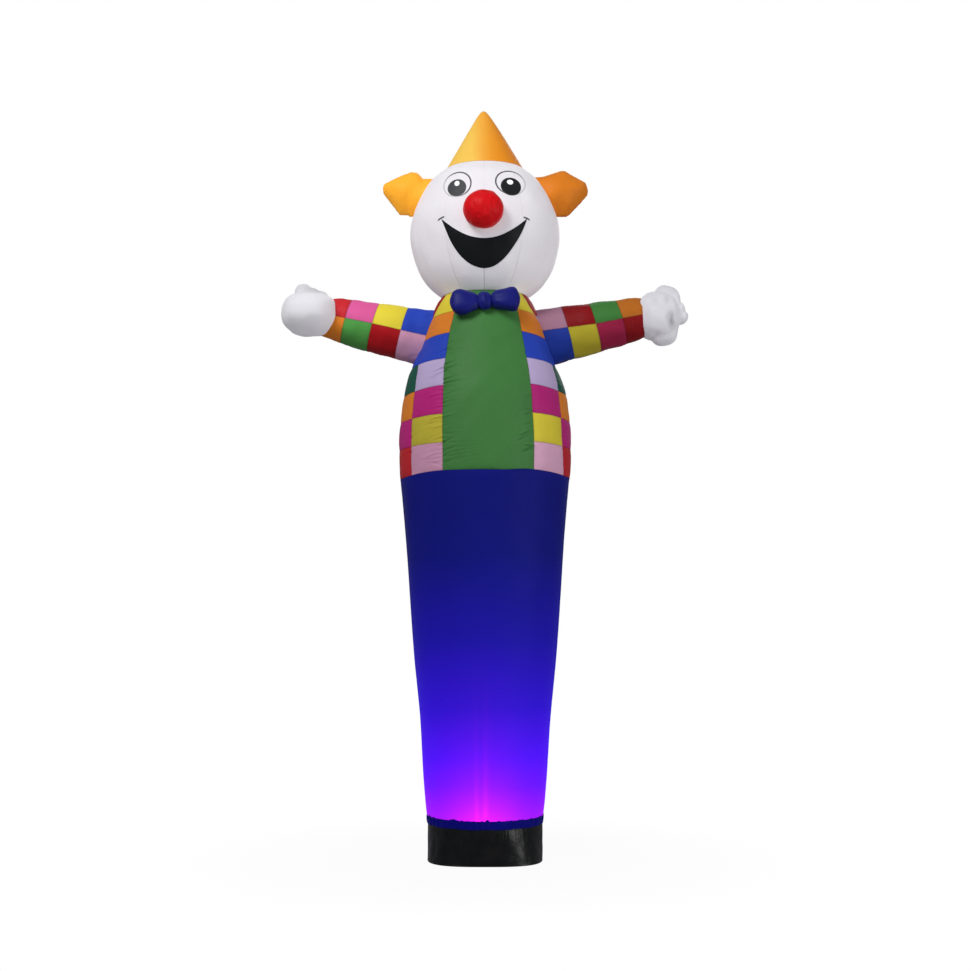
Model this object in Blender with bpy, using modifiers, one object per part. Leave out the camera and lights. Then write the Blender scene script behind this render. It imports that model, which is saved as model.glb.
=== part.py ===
"""Inflatable clown air dancer: panels of thin cloth, held out by air, on a black base.

Frame: metres, +Z up, the front faces -Y, the origin is the middle of the underside.
Left is -X and right is +X, as seen from the front. An azimuth is an angle about Z,
0 at the front and positive towards +X.
"""

import math

import bmesh
import bpy
from mathutils import Vector

# Cloth and seams
CLOTH = 0.0015  # wall of the sewn cloth
COVER = 0.003  # wall of the black coated base cover
SEAM = 0.0003  # gap between two pieces that are sewn together
TUFT_GAP = 0.0019  # from the corners of a rim to the round body that it is sewn to
SLEEVE_GAP = 0.0014
NOSE_GAP = 0.0014
MERGE = 0.0001  # merge distance of every modifier that merges
SHARP_ANGLE = math.radians(40)  # faces that meet at more than this are shaded apart
TIP_SHARE = 0.5  # from a closed end to the ring before it, over the spacing of its rings
HALVINGS = 40  # steps of a search by halves

# The figure's turned outline, top to bottom: height, radius
HAT_RINGS = (
    (4.498, 0.0),
    (4.478, 0.031),
    (4.443, 0.055),
    (4.158, 0.229),
)
HEAD_RINGS = (
    (4.158, 0.229),
    (4.080, 0.313),
    (4.004, 0.369),
    (3.920, 0.411),
    (3.829, 0.442),
    (3.739, 0.449),
    (3.650, 0.441),
    (3.560, 0.416),
    (3.485, 0.378),
    (3.431, 0.335),
    (3.368, 0.261),
)
VEST_RINGS = (
    (3.368, 0.261),
    (3.292, 0.304),
    (3.140, 0.366),
    (2.985, 0.426),
    (2.905, 0.459),
    (2.800, 0.487),
    (2.683, 0.504),
    (2.500, 0.516),
    (2.291, 0.513),
)
TROUSER_RINGS = (
    (2.291, 0.513),
    (1.985, 0.488),
    (1.568, 0.457),
    (1.206, 0.428),
    (0.844, 0.394),
    (0.483, 0.372),
    (0.262, 0.350),
)

# Sewing plan of the turned parts
HEAD_GORES = 12
HEAD_TURN = math.radians(-0.8)  # azimuth of the seam in the middle of the face
GORE_STEPS = 3
HAT_STEPS = 36
TROUSER_PANELS = 6
TROUSER_STEPS = 4
VEST_TURN = math.radians(2.9)  # azimuth of the middle of the green front panel, at the waist
FRONT_EDGES = (
    # azimuths of the front panel's left and right edges at each ring of the vest, in degrees
    (-33.6, 35.8),
    (-33.8, 35.6),
    (-33.9, 35.2),
    (-32.2, 34.2),
    (-31.0, 33.5),
    (-29.8, 33.1),
    (-28.8, 33.2),
    (-28.5, 33.5),
    (-28.4, 33.7),
)
FRONT_STEPS = 6
VEST_COLUMNS = 5  # patchwork columns on each side
COLUMN_TURN = math.radians(29.78)  # turn of a column from the second to the last
COLUMN_STEPS = 3

# Arms: a straight axis in the plane y = 0, tapered sleeves
ARM_ROOT_HEIGHT = 3.049  # where the axes of both arms meet the middle plane
ARM_RISE = 0.2114  # rise for each metre outwards
ARM_REACH = 1.075  # from the middle plane to past the wrist, along X
SLEEVE_ROOT_RADIUS = 0.200
SLEEVE_END_RADIUS = 0.116
SLEEVE_ROOT_DEPTH = 0.67  # depth over height of a sleeve's section where it leaves the vest
SLEEVE_OVAL_END = 0.30  # share of the reach where a sleeve begins to grow round
SLEEVE_ROUND_START = 0.70  # share of the reach from where it is round
SLEEVE_SIDES = 16
SLEEVE_ROWS = 4
ELBOW = 0.6  # a share of ARM_REACH that is clear of both vest and glove
ARMHOLE_RADIUS = 0.140
ARMHOLE_SIDES = 24
ARMHOLE_COLUMNS = (2, 3)  # the columns that the armhole passes through
ARMHOLE_REACH = (0.22, 0.56)  # inner and outer end of the cut, along X

# Hands: lobes that swell into one glove. Middle and half sizes along X (outwards), Y, Z
LEFT_HAND_MIDDLE = (-1.067, -0.070, 3.268)
LEFT_HAND_LOBES = (
    # outwards, back, up, half outwards, half back, half up
    (0.000, 0.000, 0.000, 0.162, 0.225, 0.128),
    (0.030, 0.075, 0.105, 0.070, 0.070, 0.085),
    (-0.060, 0.065, 0.075, 0.080, 0.080, 0.065),
)
RIGHT_HAND_MIDDLE = (1.086, -0.010, 3.262)
RIGHT_HAND_LOBES = (
    (-0.050, 0.000, -0.010, 0.140, 0.150, 0.150),
    (0.020, 0.010, 0.105, 0.092, 0.080, 0.080),
    (0.075, 0.000, 0.040, 0.065, 0.080, 0.085),
    (-0.005, -0.010, -0.100, 0.085, 0.080, 0.080),
)
HAND_SIDES = 16
HAND_ROWS = 8
LOBE_BLEND = 5.0  # higher keeps the lobes more distinct
HAND_REACH = 0.4  # no lobe reaches this far from the middle of its hand
LEFT_WRIST_GAP = 0.0026  # from the round of the glove to the corners of a sleeve's end
RIGHT_WRIST_GAP = -0.0008  # inside the round here, where the glove's flat faces lie deeper
WRIST_ANGLE = math.radians(148)  # the glove is open beyond this angle from its tip
WRIST_REACH = 0.93  # a glove's tip points away from the arm's axis at this distance outwards

# Nose: a ball, open at the head
NOSE_RADIUS = 0.118
NOSE_MIDDLE = (-0.010, -0.489, 3.784)
NOSE_FLATTEN = 0.94  # height over width
NOSE_SIDES = 16
NOSE_ROWS = 6
NOSE_REACH = math.radians(170)

# Hair tufts: stations from inside the head to the tip
TUFT_BACK = 0.050  # middle plane of a tuft, behind the figure's own
TUFT_STATIONS_LEFT = (
    # outwards, lowest, highest, half thickness
    (0.240, 3.875, 4.075, 0.105),
    (0.360, 3.872, 4.090, 0.115),
    (0.440, 3.872, 4.132, 0.115),
    (0.515, 3.872, 4.106, 0.105),
    (0.562, 3.930, 4.082, 0.088),
    (0.604, 3.985, 4.062, 0.060),
    (0.617, 4.000, 4.052, 0.030),
)
TUFT_STATIONS_RIGHT = (
    (0.240, 3.870, 4.080, 0.105),
    (0.360, 3.862, 4.106, 0.115),
    (0.470, 3.862, 4.143, 0.115),
    (0.515, 3.880, 4.120, 0.105),
    (0.572, 3.940, 4.090, 0.088),
    (0.604, 3.976, 4.070, 0.060),
    (0.617, 3.990, 4.040, 0.030),
)
TUFT_SIDES = 14
TUFT_ROWS = 6
TUFT_LEAST_HALF = 0.001  # half height and half thickness of the wall's inside, at least

# Patches sewn on the face, as seen from the front
MOUTH_LIFT = 0.0041  # from the head to the back of a patch, at its corners
PUPIL_LIFT = 0.0027
PATCH_CLOTH = 0.001
MOUTH_HALF_WIDTH = 0.246
MOUTH_CORNER_HEIGHT = 3.751
MOUTH_TOP_HEIGHT = 3.624
MOUTH_LOWER_EDGE = (
    # outwards, height
    (0.000, 3.470),
    (0.052, 3.479),
    (0.112, 3.519),
    (0.166, 3.582),
    (0.209, 3.655),
    (0.246, 3.751),
)
MOUTH_COLUMNS = 12
MOUTH_ROWS = 7
PUPIL_OUT = 0.158
PUPIL_HEIGHT = 3.940
PUPIL_HALF_WIDTH = 0.055
PUPIL_HALF_HEIGHT = 0.050
PUPIL_SIDES = 14

# Bow tie, padded
BOW_HEIGHT = 3.282
BOW_DEPTH = 0.3493  # of the knot's middle, in front of the figure's axis
BOW_TILT = math.radians(4)  # its right side is higher
BOW_LEAN = math.radians(18)  # its top leans back with the chest
KNOT_HALF_SIZE = (0.040, 0.040, 0.056)
LOBE_LENGTH = 0.168
LOBE_INNER_HALF = 0.052  # half height at the knot
LOBE_OUTER_HALF = 0.108  # half height at the free end
LOBE_HALF_DEPTH = 0.046
LOBE_START = 0.0349  # from the knot's middle
SWELL = 1.138  # cage over finished size of a block that is subdivided twice
SWELL_LEVELS = 2
LOBE_OVERHANG = 0.07  # of a lobe's cage beyond each end of the lobe, over its length

# Gathered hem and black base
HEM_TOP = TROUSER_RINGS[-1][0] - SEAM
HEM_BOTTOM = 0.202
HEM_RADIUS = 0.344
HEM_GATHERS = 16
HEM_GATHER_DEPTH = 0.006
BASE_RADIUS = 0.344
BASE_TOP = HEM_BOTTOM - SEAM
BASE_SIDES = 32
BASE_GROUND_POWER = 3.0  # superellipse power of the outline on the ground
BASE_RINGS = (0.0, 0.35, 0.7, 1.0)  # shares of the wall's height

CLOTHS = (
    # name, red, green, blue, roughness
    ("orange_cloth", 0.92, 0.36, 0.03, 0.45),
    ("white_cloth", 0.78, 0.76, 0.80, 0.50),
    ("black_cloth", 0.01, 0.01, 0.012, 0.50),
    ("red_cloth", 0.60, 0.02, 0.02, 0.40),
    ("bow_cloth", 0.02, 0.02, 0.27, 0.45),
    ("green_cloth", 0.06, 0.24, 0.06, 0.50),
    ("patchwork_cloth", 0.50, 0.12, 0.20, 0.50),
    ("trouser_cloth", 0.012, 0.015, 0.22, 0.50),
    ("hem_cloth", 0.01, 0.006, 0.20, 0.50),
    ("black_cover", 0.006, 0.007, 0.008, 0.30),
)


# ---------- scene and materials ----------


def empty_scene():
    for old in list(bpy.data.objects):
        bpy.data.objects.remove(old, do_unlink=True)


def new_collection(name):
    collection = bpy.data.collections.new(name)
    bpy.context.scene.collection.children.link(collection)
    return collection


def cloth_material(name, red, green, blue, roughness):
    material = bpy.data.materials.new(name)
    material.use_nodes = True
    shader = material.node_tree.nodes["Principled BSDF"]
    shader.inputs["Base Color"].default_value = (red, green, blue, 1.0)
    shader.inputs["Roughness"].default_value = roughness
    shader.inputs["Metallic"].default_value = 0.0
    return material


def add_object(name, data, material, collection):
    made = bpy.data.objects.new(name, data)
    data.materials.append(material)
    collection.objects.link(made)
    return made


def shade_round(mesh):
    mesh.shade_smooth()
    mesh.set_sharp_from_angle(angle=SHARP_ANGLE)


# ---------- shapes that are turned about Z ----------


def turned_profile(name, rings):
    """Profile at +X, from the top ring down."""
    mesh = bpy.data.meshes.new(name)
    points = [(radius, 0.0, height) for height, radius in rings]
    edges = [(i, i + 1) for i in range(len(points) - 1)]
    mesh.from_pydata(points, edges, [])
    return mesh


def turned_sheet(made, start, sweep, steps):
    """Turns a profile through a sweep from the azimuth start, and gives it its wall."""
    made.rotation_euler.z = start - math.pi / 2
    screw = made.modifiers.new("turn", "SCREW")
    screw.angle = sweep
    screw.steps = steps
    screw.render_steps = steps
    screw.use_merge_vertices = True
    screw.merge_threshold = MERGE
    screw.use_smooth_shade = True
    add_wall(made)


def add_wall(made):
    """Gives a sheet its thickness, inwards."""
    wall = made.modifiers.new("wall", "SOLIDIFY")
    wall.thickness = CLOTH
    wall.offset = -1.0
    wall.use_even_offset = True


def seam_angle(rings, step):
    """Half the angle that a seam takes. The inner corners of the walls lean towards it by half
    the angle of a step, and they are SEAM apart at the narrowest ring."""
    narrowest = min(radius for height, radius in rings)
    return (SEAM / 2 + CLOTH * math.sin(step / 2)) / narrowest


def shortened(rings):
    """The rings with half a seam taken off the top and the bottom."""
    (top, top_radius), (low, low_radius) = rings[0], rings[-1]
    inner = list(rings[1:-1])
    return [(top - SEAM / 2, top_radius), *inner, (low + SEAM / 2, low_radius)]


def make_hat(parts, material):
    made = add_object("hat_cone", turned_profile("hat_profile", shortened(HAT_RINGS)), material, parts)
    turned_sheet(made, HEAD_TURN, 2 * math.pi, HAT_STEPS)


def make_head(parts, material):
    profile = turned_profile("head_profile", shortened(HEAD_RINGS))
    width = 2 * math.pi / HEAD_GORES
    half_seam = seam_angle(HEAD_RINGS, width / GORE_STEPS)
    for number in range(HEAD_GORES):
        made = bpy.data.objects.new(f"head_gore_{number + 1:02d}", profile)
        parts.objects.link(made)
        start = HEAD_TURN + number * width + half_seam
        turned_sheet(made, start, width - 2 * half_seam, GORE_STEPS)
    profile.materials.append(material)


def make_trousers(parts, material):
    profile = turned_profile("trouser_profile", shortened(TROUSER_RINGS))
    width = 2 * math.pi / TROUSER_PANELS
    half_seam = seam_angle(TROUSER_RINGS, width / TROUSER_STEPS)
    for number in range(TROUSER_PANELS):
        made = bpy.data.objects.new(f"trouser_panel_{number + 1}", profile)
        parts.objects.link(made)
        start = (number - 0.5) * width + half_seam
        turned_sheet(made, start, width - 2 * half_seam, TROUSER_STEPS)
    profile.materials.append(material)


def vest_panel(name, starts, ends, steps, material, parts):
    """Sheet of the vest between two azimuths at each of its rings, a seam narrower."""
    half_seam = seam_angle(VEST_RINGS, max(b - a for a, b in zip(starts, ends)) / steps)
    points, faces = [], []
    for (height, radius), start, end in zip(shortened(VEST_RINGS), starts, ends):
        start, end = start + half_seam, end - half_seam
        for k in range(steps + 1):
            azimuth = start + (end - start) * k / steps
            points.append((radius * math.sin(azimuth), -radius * math.cos(azimuth), height))
    across = steps + 1
    for i in range((len(starts) - 1) * across):
        if i % across < steps:
            faces.append((i, i + across, i + across + 1, i + 1))
    mesh = bpy.data.meshes.new(name)
    mesh.from_pydata(points, [], faces)
    mesh.shade_smooth()
    made = add_object(name, mesh, material, parts)
    add_wall(made)
    return made


def front_edge(side):
    """Azimuths of the front panel's left or right edge, from the top ring down."""
    return [math.radians(row[0] if side < 0 else row[1]) for row in FRONT_EDGES]


def make_front_panel(parts, material):
    vest_panel("front_panel", front_edge(-1), front_edge(1), FRONT_STEPS, material, parts)


def armhole_cutter(side, cutters):
    """An oval bar along the arm's axis, through the side of the vest."""
    inner, outer = (arm_point(side, reach) for reach in ARMHOLE_REACH)
    mesh = bpy.data.meshes.new("armhole")
    shape = bmesh.new()
    bmesh.ops.create_cone(
        shape,
        cap_ends=True,
        segments=ARMHOLE_SIDES,
        radius1=ARMHOLE_RADIUS,
        radius2=ARMHOLE_RADIUS,
        depth=(outer - inner).length,
    )
    shape.to_mesh(mesh)
    shape.free()
    cutter = bpy.data.objects.new(f"armhole_cutter_{side_name(side)}", mesh)
    cutter.location = (inner + outer) / 2
    cutter.rotation_euler = (outer - inner).to_track_quat("Z", "Y").to_euler()
    cutter.scale.x = SLEEVE_ROOT_DEPTH
    cutter.hide_render = True
    cutter.display_type = "WIRE"
    cutters.objects.link(cutter)
    return cutter


def make_vest_side(side, parts, cutters, material):
    """Five columns from the front panel's edge to the middle of the back."""
    cutter = armhole_cutter(side, cutters)
    back = VEST_TURN + side * math.pi
    near = front_edge(side)
    for number in range(1, VEST_COLUMNS + 1):
        far = [back - side * (VEST_COLUMNS - number) * COLUMN_TURN] * len(near)
        edges = (near, far) if side > 0 else (far, near)
        name = f"vest_column_{side_name(side)}_{number}"
        made = vest_panel(name, *edges, COLUMN_STEPS, material, parts)
        if number in ARMHOLE_COLUMNS:
            cut = made.modifiers.new("armhole", "BOOLEAN")
            cut.operation = "DIFFERENCE"
            cut.object = cutter
        near = far


# ---------- shells between two grids ----------


def figure_radius(height):
    """Radius of the head or vest at a height, straight between the rings of the tables."""
    rings = HEAD_RINGS + VEST_RINGS[1:]
    for (high, high_radius), (low, low_radius) in zip(rings, rings[1:]):
        if low <= height <= high:
            share = (height - low) / (high - low)
            return low_radius + share * (high_radius - low_radius)
    return rings[0][1] if height > rings[0][0] else rings[-1][1]


def beyond_figure(gap):
    """A function that gives a point's distance outside the head or vest, less a gap."""

    def depth(point):
        return math.hypot(point.x, point.y) - figure_radius(point.z) - gap

    return depth


def crossing(path, depth, low, high):
    """Where depth(path(s)) passes zero between s = low, below zero, and s = high, above."""
    for _ in range(HALVINGS):
        middle = (low + high) / 2
        if depth(path(middle)) < 0:
            low = middle
        else:
            high = middle
    return high


def add_ring(shape, points):
    return [shape.verts.new(point) for point in points]


def bridge(shape, one, other, closed=True):
    """Faces between two rows of as many vertices."""
    count = len(one)
    for i in range(count if closed else count - 1):
        j = (i + 1) % count
        shape.faces.new((one[i], one[j], other[j], other[i]))


def close_tip(shape, row, tip):
    point = shape.verts.new(tip)
    for i in range(len(row)):
        shape.faces.new((row[i], row[(i + 1) % len(row)], point))


def shell_mesh(name, outer, inner, outer_tip=None, inner_tip=None):
    """One closed wall between an outer and an inner stack of rings, open at its first ring,
    and closed at its last by the two tips, or else open there too."""
    shape = bmesh.new()
    rows_out = [add_ring(shape, ring) for ring in outer]
    rows_in = [add_ring(shape, ring) for ring in inner]
    for rows in (rows_out, rows_in):
        for one, other in zip(rows, rows[1:]):
            bridge(shape, one, other)
    bridge(shape, rows_out[0], rows_in[0])
    if outer_tip is None:
        bridge(shape, rows_out[-1], rows_in[-1])
    else:
        close_tip(shape, rows_out[-1], outer_tip)
        close_tip(shape, rows_in[-1], inner_tip)
    bmesh.ops.recalc_face_normals(shape, faces=shape.faces)
    mesh = bpy.data.meshes.new(name)
    shape.to_mesh(mesh)
    shape.free()
    shade_round(mesh)
    return mesh


def rings_from(surface, inset, starts, ends, rows):
    """Rings of points on a surface(turn, s, inset), each turn sampled from its start to its end."""
    sides = len(starts)
    turns = [2 * math.pi * k / sides for k in range(sides)]
    rings = []
    for row in range(rows):
        share = row / (rows - 1)
        spans = zip(turns, starts, ends)
        rings.append([surface(turn, a + share * (b - a), inset) for turn, a, b in spans])
    return rings


def seated_shell(name, surface, sides, rows, gap):
    """A shell whose open rim follows the figure, and whose far end closes in a tip at s = 1."""
    clear = beyond_figure(gap)
    grids = []
    last = 1.0 - TIP_SHARE / rows
    for inset in (0.0, CLOTH):
        starts = []
        for k in range(sides):
            turn = 2 * math.pi * k / sides
            starts.append(crossing(lambda s: surface(turn, s, inset), clear, 0.0, last))
        grids.append(rings_from(surface, inset, starts, [last] * sides, rows))
    tips = (surface(0.0, 1.0, inset) for inset in (0.0, CLOTH))
    return shell_mesh(name, *grids, *tips)


# ---------- arms and hands ----------


def side_name(side):
    return "left" if side < 0 else "right"


def arm_point(side, reach):
    """Point on an arm's axis at a distance from the middle plane."""
    return Vector((side * reach, 0.0, ARM_ROOT_HEIGHT + ARM_RISE * reach))


def arm_frame(side):
    """Unit vectors outwards along the arm, up across it, and to the front."""
    along = Vector((side, 0.0, ARM_RISE)).normalized()
    front = Vector((0.0, -1.0, 0.0))
    up = Vector((-side * ARM_RISE, 0.0, 1.0)).normalized()
    return along, up, front


def sleeve_depth(s):
    """Depth over height of a sleeve's section: an oval that grows round along the arm."""
    share = (s - SLEEVE_OVAL_END) / (SLEEVE_ROUND_START - SLEEVE_OVAL_END)
    share = min(max(share, 0.0), 1.0)
    return SLEEVE_ROOT_DEPTH + (1 - SLEEVE_ROOT_DEPTH) * share * share * (3 - 2 * share)


def sleeve_surface(side):
    along, up, front = arm_frame(side)

    def surface(turn, s, inset):
        radius = SLEEVE_ROOT_RADIUS + s * (SLEEVE_END_RADIUS - SLEEVE_ROOT_RADIUS)
        high = (radius - inset) * math.cos(turn)
        forward = (radius * sleeve_depth(s) - inset) * math.sin(turn)
        return arm_point(side, s * ARM_REACH) + high * up + forward * front

    return surface


def lobe_field(offset, lobes, side):
    """Above zero inside the swollen union of the lobes, below zero outside."""
    total = 0.0
    for out, back, high, half_out, half_back, half_high in lobes:
        x = (side * offset.x - out) / half_out
        y = (offset.y - back) / half_back
        z = (offset.z - high) / half_high
        total += math.exp(LOBE_BLEND * (1 - x * x - y * y - z * z))
    return total - 1.0


def lobe_radius(direction, lobes, side):
    """Distance from the hand's middle to its skin."""
    low, high = 0.0, HAND_REACH
    for _ in range(HALVINGS):
        middle = (low + high) / 2
        if lobe_field(direction * middle, lobes, side) > 0:
            low = middle
        else:
            high = middle
    return low


def hand_frame(side, middle):
    """Unit vectors from the wrist through the hand's middle, up across it, and to the front."""
    along = (middle - arm_point(side, WRIST_REACH)).normalized()
    front = side * along.cross(arm_frame(side)[1]).normalized()
    return along, side * front.cross(along), front


def hand_surface(side, middle, lobes):
    along, up, front = hand_frame(side, middle)

    def surface(turn, s, inset):
        angle = (1 - s) * WRIST_ANGLE
        across = math.cos(turn) * up + math.sin(turn) * front
        direction = math.cos(angle) * along + math.sin(angle) * across
        return middle + direction * (lobe_radius(direction, lobes, side) - inset)

    return surface


def make_hand(side, middle, lobes, parts, material):
    surface = hand_surface(side, middle, lobes)
    last = 1.0 - TIP_SHARE / HAND_ROWS
    grids = []
    for inset in (0.0, CLOTH):
        grids.append(rings_from(surface, inset, [0.0] * HAND_SIDES, [last] * HAND_SIDES, HAND_ROWS))
    tips = (surface(0.0, 1.0, inset) for inset in (0.0, CLOTH))
    name = f"hand_{side_name(side)}"
    add_object(name, shell_mesh(name, *grids, *tips), material, parts)


def make_sleeve(side, middle, lobes, wrist_gap, parts, material):
    """A tapered tube from the vest to the glove. Both rims follow what they are sewn to."""
    surface = sleeve_surface(side)
    clear = beyond_figure(SLEEVE_GAP)

    def before_hand(point):
        offset = point - middle
        return offset.length - lobe_radius(offset.normalized(), lobes, side) - wrist_gap

    grids = []
    for inset in (0.0, CLOTH):
        starts, ends = [], []
        for k in range(SLEEVE_SIDES):
            turn = 2 * math.pi * k / SLEEVE_SIDES
            starts.append(crossing(lambda s: surface(turn, s, inset), clear, 0.0, ELBOW))
            ends.append(crossing(lambda s: surface(turn, s, inset), before_hand, 1.0, ELBOW))
        grids.append(rings_from(surface, inset, starts, ends, SLEEVE_ROWS + 1))
    name = f"sleeve_{side_name(side)}"
    add_object(name, shell_mesh(name, *grids), material, parts)


# ---------- face and hair ----------


def nose_surface(turn, s, inset):
    angle = (1 - s) * NOSE_REACH
    radius = NOSE_RADIUS - inset
    x = radius * math.sin(angle) * math.cos(turn)
    z = radius * math.sin(angle) * math.sin(turn) * NOSE_FLATTEN
    return Vector(NOSE_MIDDLE) + Vector((x, -radius * math.cos(angle), z))


def make_nose(parts, material):
    mesh = seated_shell("nose", nose_surface, NOSE_SIDES, NOSE_ROWS, NOSE_GAP)
    add_object("nose", mesh, material, parts)


def station_at(stations, s):
    """Values of a table of stations at s, from 0 at the first to 1 at the last."""
    place = s * (len(stations) - 1)
    index = min(int(place), len(stations) - 2)
    share = place - index
    return [a + share * (b - a) for a, b in zip(stations[index], stations[index + 1])]


def tuft_surface(side, stations):
    def surface(turn, s, inset):
        out, low, high, thick = station_at(stations, s)
        half = max((high - low) / 2 - inset, TUFT_LEAST_HALF)
        thick = max(thick - inset, TUFT_LEAST_HALF)
        if s >= 1.0:
            return Vector((side * (out - inset), TUFT_BACK, (low + high) / 2))
        y = TUFT_BACK + thick * math.sin(turn)
        return Vector((side * (out - inset), y, (low + high) / 2 + half * math.cos(turn)))

    return surface


def make_tuft(side, stations, parts, material):
    name = f"tuft_{side_name(side)}"
    mesh = seated_shell(name, tuft_surface(side, stations), TUFT_SIDES, TUFT_ROWS, TUFT_GAP)
    add_object(name, mesh, material, parts)


def on_face(x, z, lift):
    """Point of the head's front at x and z, lifted off it."""
    radius = figure_radius(z) + lift
    return Vector((x, -math.sqrt(radius * radius - x * x), z))


def patch_object(name, mesh, parts, material):
    made = add_object(name, mesh, material, parts)
    wall = made.modifiers.new("wall", "SOLIDIFY")
    wall.thickness = PATCH_CLOTH
    wall.offset = 1.0
    shade_round(mesh)


def lower_lip(x):
    """Height of the mouth's lower edge, straight between the rows of its table."""
    for (near, near_z), (far, far_z) in zip(MOUTH_LOWER_EDGE, MOUTH_LOWER_EDGE[1:]):
        if x <= far:
            return near_z + (x - near) / (far - near) * (far_z - near_z)
    return MOUTH_CORNER_HEIGHT


def make_mouth(parts, material):
    """A crescent: a parabola above, the table's edge below, and a point at each corner."""
    shape = bmesh.new()
    columns = []
    for i in range(1, MOUTH_COLUMNS):
        x = MOUTH_HALF_WIDTH * (2 * i / MOUTH_COLUMNS - 1)
        rise = (x / MOUTH_HALF_WIDTH) ** 2 * (MOUTH_CORNER_HEIGHT - MOUTH_TOP_HEIGHT)
        top, low = MOUTH_TOP_HEIGHT + rise, lower_lip(abs(x))
        heights = [low + (top - low) * row / MOUTH_ROWS for row in range(MOUTH_ROWS + 1)]
        columns.append(add_ring(shape, [on_face(x, z, MOUTH_LIFT) for z in heights]))
    for one, other in zip(columns, columns[1:]):
        bridge(shape, other, one, closed=False)
    for side, column in ((-1, columns[0]), (1, columns[-1])):
        corner_point = on_face(side * MOUTH_HALF_WIDTH, MOUTH_CORNER_HEIGHT, MOUTH_LIFT)
        corner = shape.verts.new(corner_point)
        for low, high in zip(column, column[1:]):
            shape.faces.new((low, high, corner) if side < 0 else (high, low, corner))
    bmesh.ops.recalc_face_normals(shape, faces=shape.faces)
    mesh = bpy.data.meshes.new("mouth")
    shape.to_mesh(mesh)
    shape.free()
    patch_object("mouth_patch", mesh, parts, material)


def make_pupil(side, parts, material):
    shape = bmesh.new()
    middle_x = side * PUPIL_OUT
    rim = []
    for k in range(PUPIL_SIDES):
        turn = 2 * math.pi * k / PUPIL_SIDES
        x = middle_x + PUPIL_HALF_WIDTH * math.cos(turn)
        z = PUPIL_HEIGHT + PUPIL_HALF_HEIGHT * math.sin(turn)
        rim.append(on_face(x, z, PUPIL_LIFT))
    close_tip(shape, add_ring(shape, rim), on_face(middle_x, PUPIL_HEIGHT, PUPIL_LIFT))
    mesh = bpy.data.meshes.new("pupil")
    shape.to_mesh(mesh)
    shape.free()
    patch_object(f"pupil_{side_name(side)}", mesh, parts, material)


# ---------- bow tie ----------


def soft_block(name, corners, material, parts, frame):
    """A block of eight corners, swollen round by subdivision. Corners run x, then y, then z."""
    mesh = bpy.data.meshes.new(name)
    faces = ((0, 1, 3, 2), (4, 6, 7, 5), (0, 4, 5, 1), (2, 3, 7, 6), (0, 2, 6, 4), (1, 5, 7, 3))
    mesh.from_pydata(corners, [], faces)
    mesh.shade_smooth()
    made = add_object(name, mesh, material, parts)
    made.parent = frame
    swell = made.modifiers.new("swell", "SUBSURF")
    swell.levels = SWELL_LEVELS
    swell.render_levels = SWELL_LEVELS


def make_bow(parts, material):
    frame = bpy.data.objects.new("bow_frame", None)
    frame.location = (0.0, -BOW_DEPTH, BOW_HEIGHT)
    frame.rotation_euler = (-BOW_LEAN, -BOW_TILT, 0.0)
    parts.objects.link(frame)
    x, y, z = (SWELL * half for half in KNOT_HALF_SIZE)
    signs = [(a, b, c) for a in (-1, 1) for b in (-1, 1) for c in (-1, 1)]
    soft_block("bow_knot", [(a * x, b * y, c * z) for a, b, c in signs], material, parts, frame)
    for side in (-1, 1):
        corners = []
        for a, b, c in signs:
            outer = a * side > 0
            reach = LOBE_START + LOBE_LENGTH * (1 + LOBE_OVERHANG if outer else -LOBE_OVERHANG)
            half = LOBE_OUTER_HALF if outer else LOBE_INNER_HALF
            corners.append((side * reach, b * LOBE_HALF_DEPTH * SWELL, c * half * SWELL))
        soft_block(f"bow_lobe_{side_name(side)}", corners, material, parts, frame)


# ---------- hem and base ----------


def ring_at(sides, height, radius_of, inset):
    """Closed ring of points, radius_of(turn) from the axis."""
    points = []
    for k in range(sides):
        turn = 2 * math.pi * k / sides
        radius = radius_of(turn) - inset
        points.append(Vector((radius * math.cos(turn), radius * math.sin(turn), height)))
    return points


def make_hem(parts, material):
    """A band drawn up in gathers: its radius swings in and out round the ring."""
    sides = 2 * HEM_GATHERS

    def gathered(turn):
        return HEM_RADIUS + HEM_GATHER_DEPTH * math.cos(HEM_GATHERS * turn)

    heights = (HEM_BOTTOM, (HEM_BOTTOM + HEM_TOP) / 2, HEM_TOP)
    grids = [[ring_at(sides, z, gathered, inset) for z in heights] for inset in (0.0, CLOTH)]
    add_object("hem_band", shell_mesh("hem_band", *grids), material, parts)


def base_outline(share):
    """Radius round the base: rounded square at share 0, the ground, and round at share 1."""
    power = BASE_GROUND_POWER + share * (2.0 - BASE_GROUND_POWER)

    def radius(turn):
        spread = abs(math.cos(turn)) ** power + abs(math.sin(turn)) ** power
        return BASE_RADIUS * spread ** (-1.0 / power)

    return radius


def make_base_wall(parts, material):
    low = COVER + SEAM
    grids = []
    for inset in (0.0, COVER):
        rings = []
        for share in BASE_RINGS:
            height = low + share * (BASE_TOP - low)
            rings.append(ring_at(BASE_SIDES, height, base_outline(share), inset))
        grids.append(rings)
    add_object("base_wall", shell_mesh("base_wall", *grids), material, parts)


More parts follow.
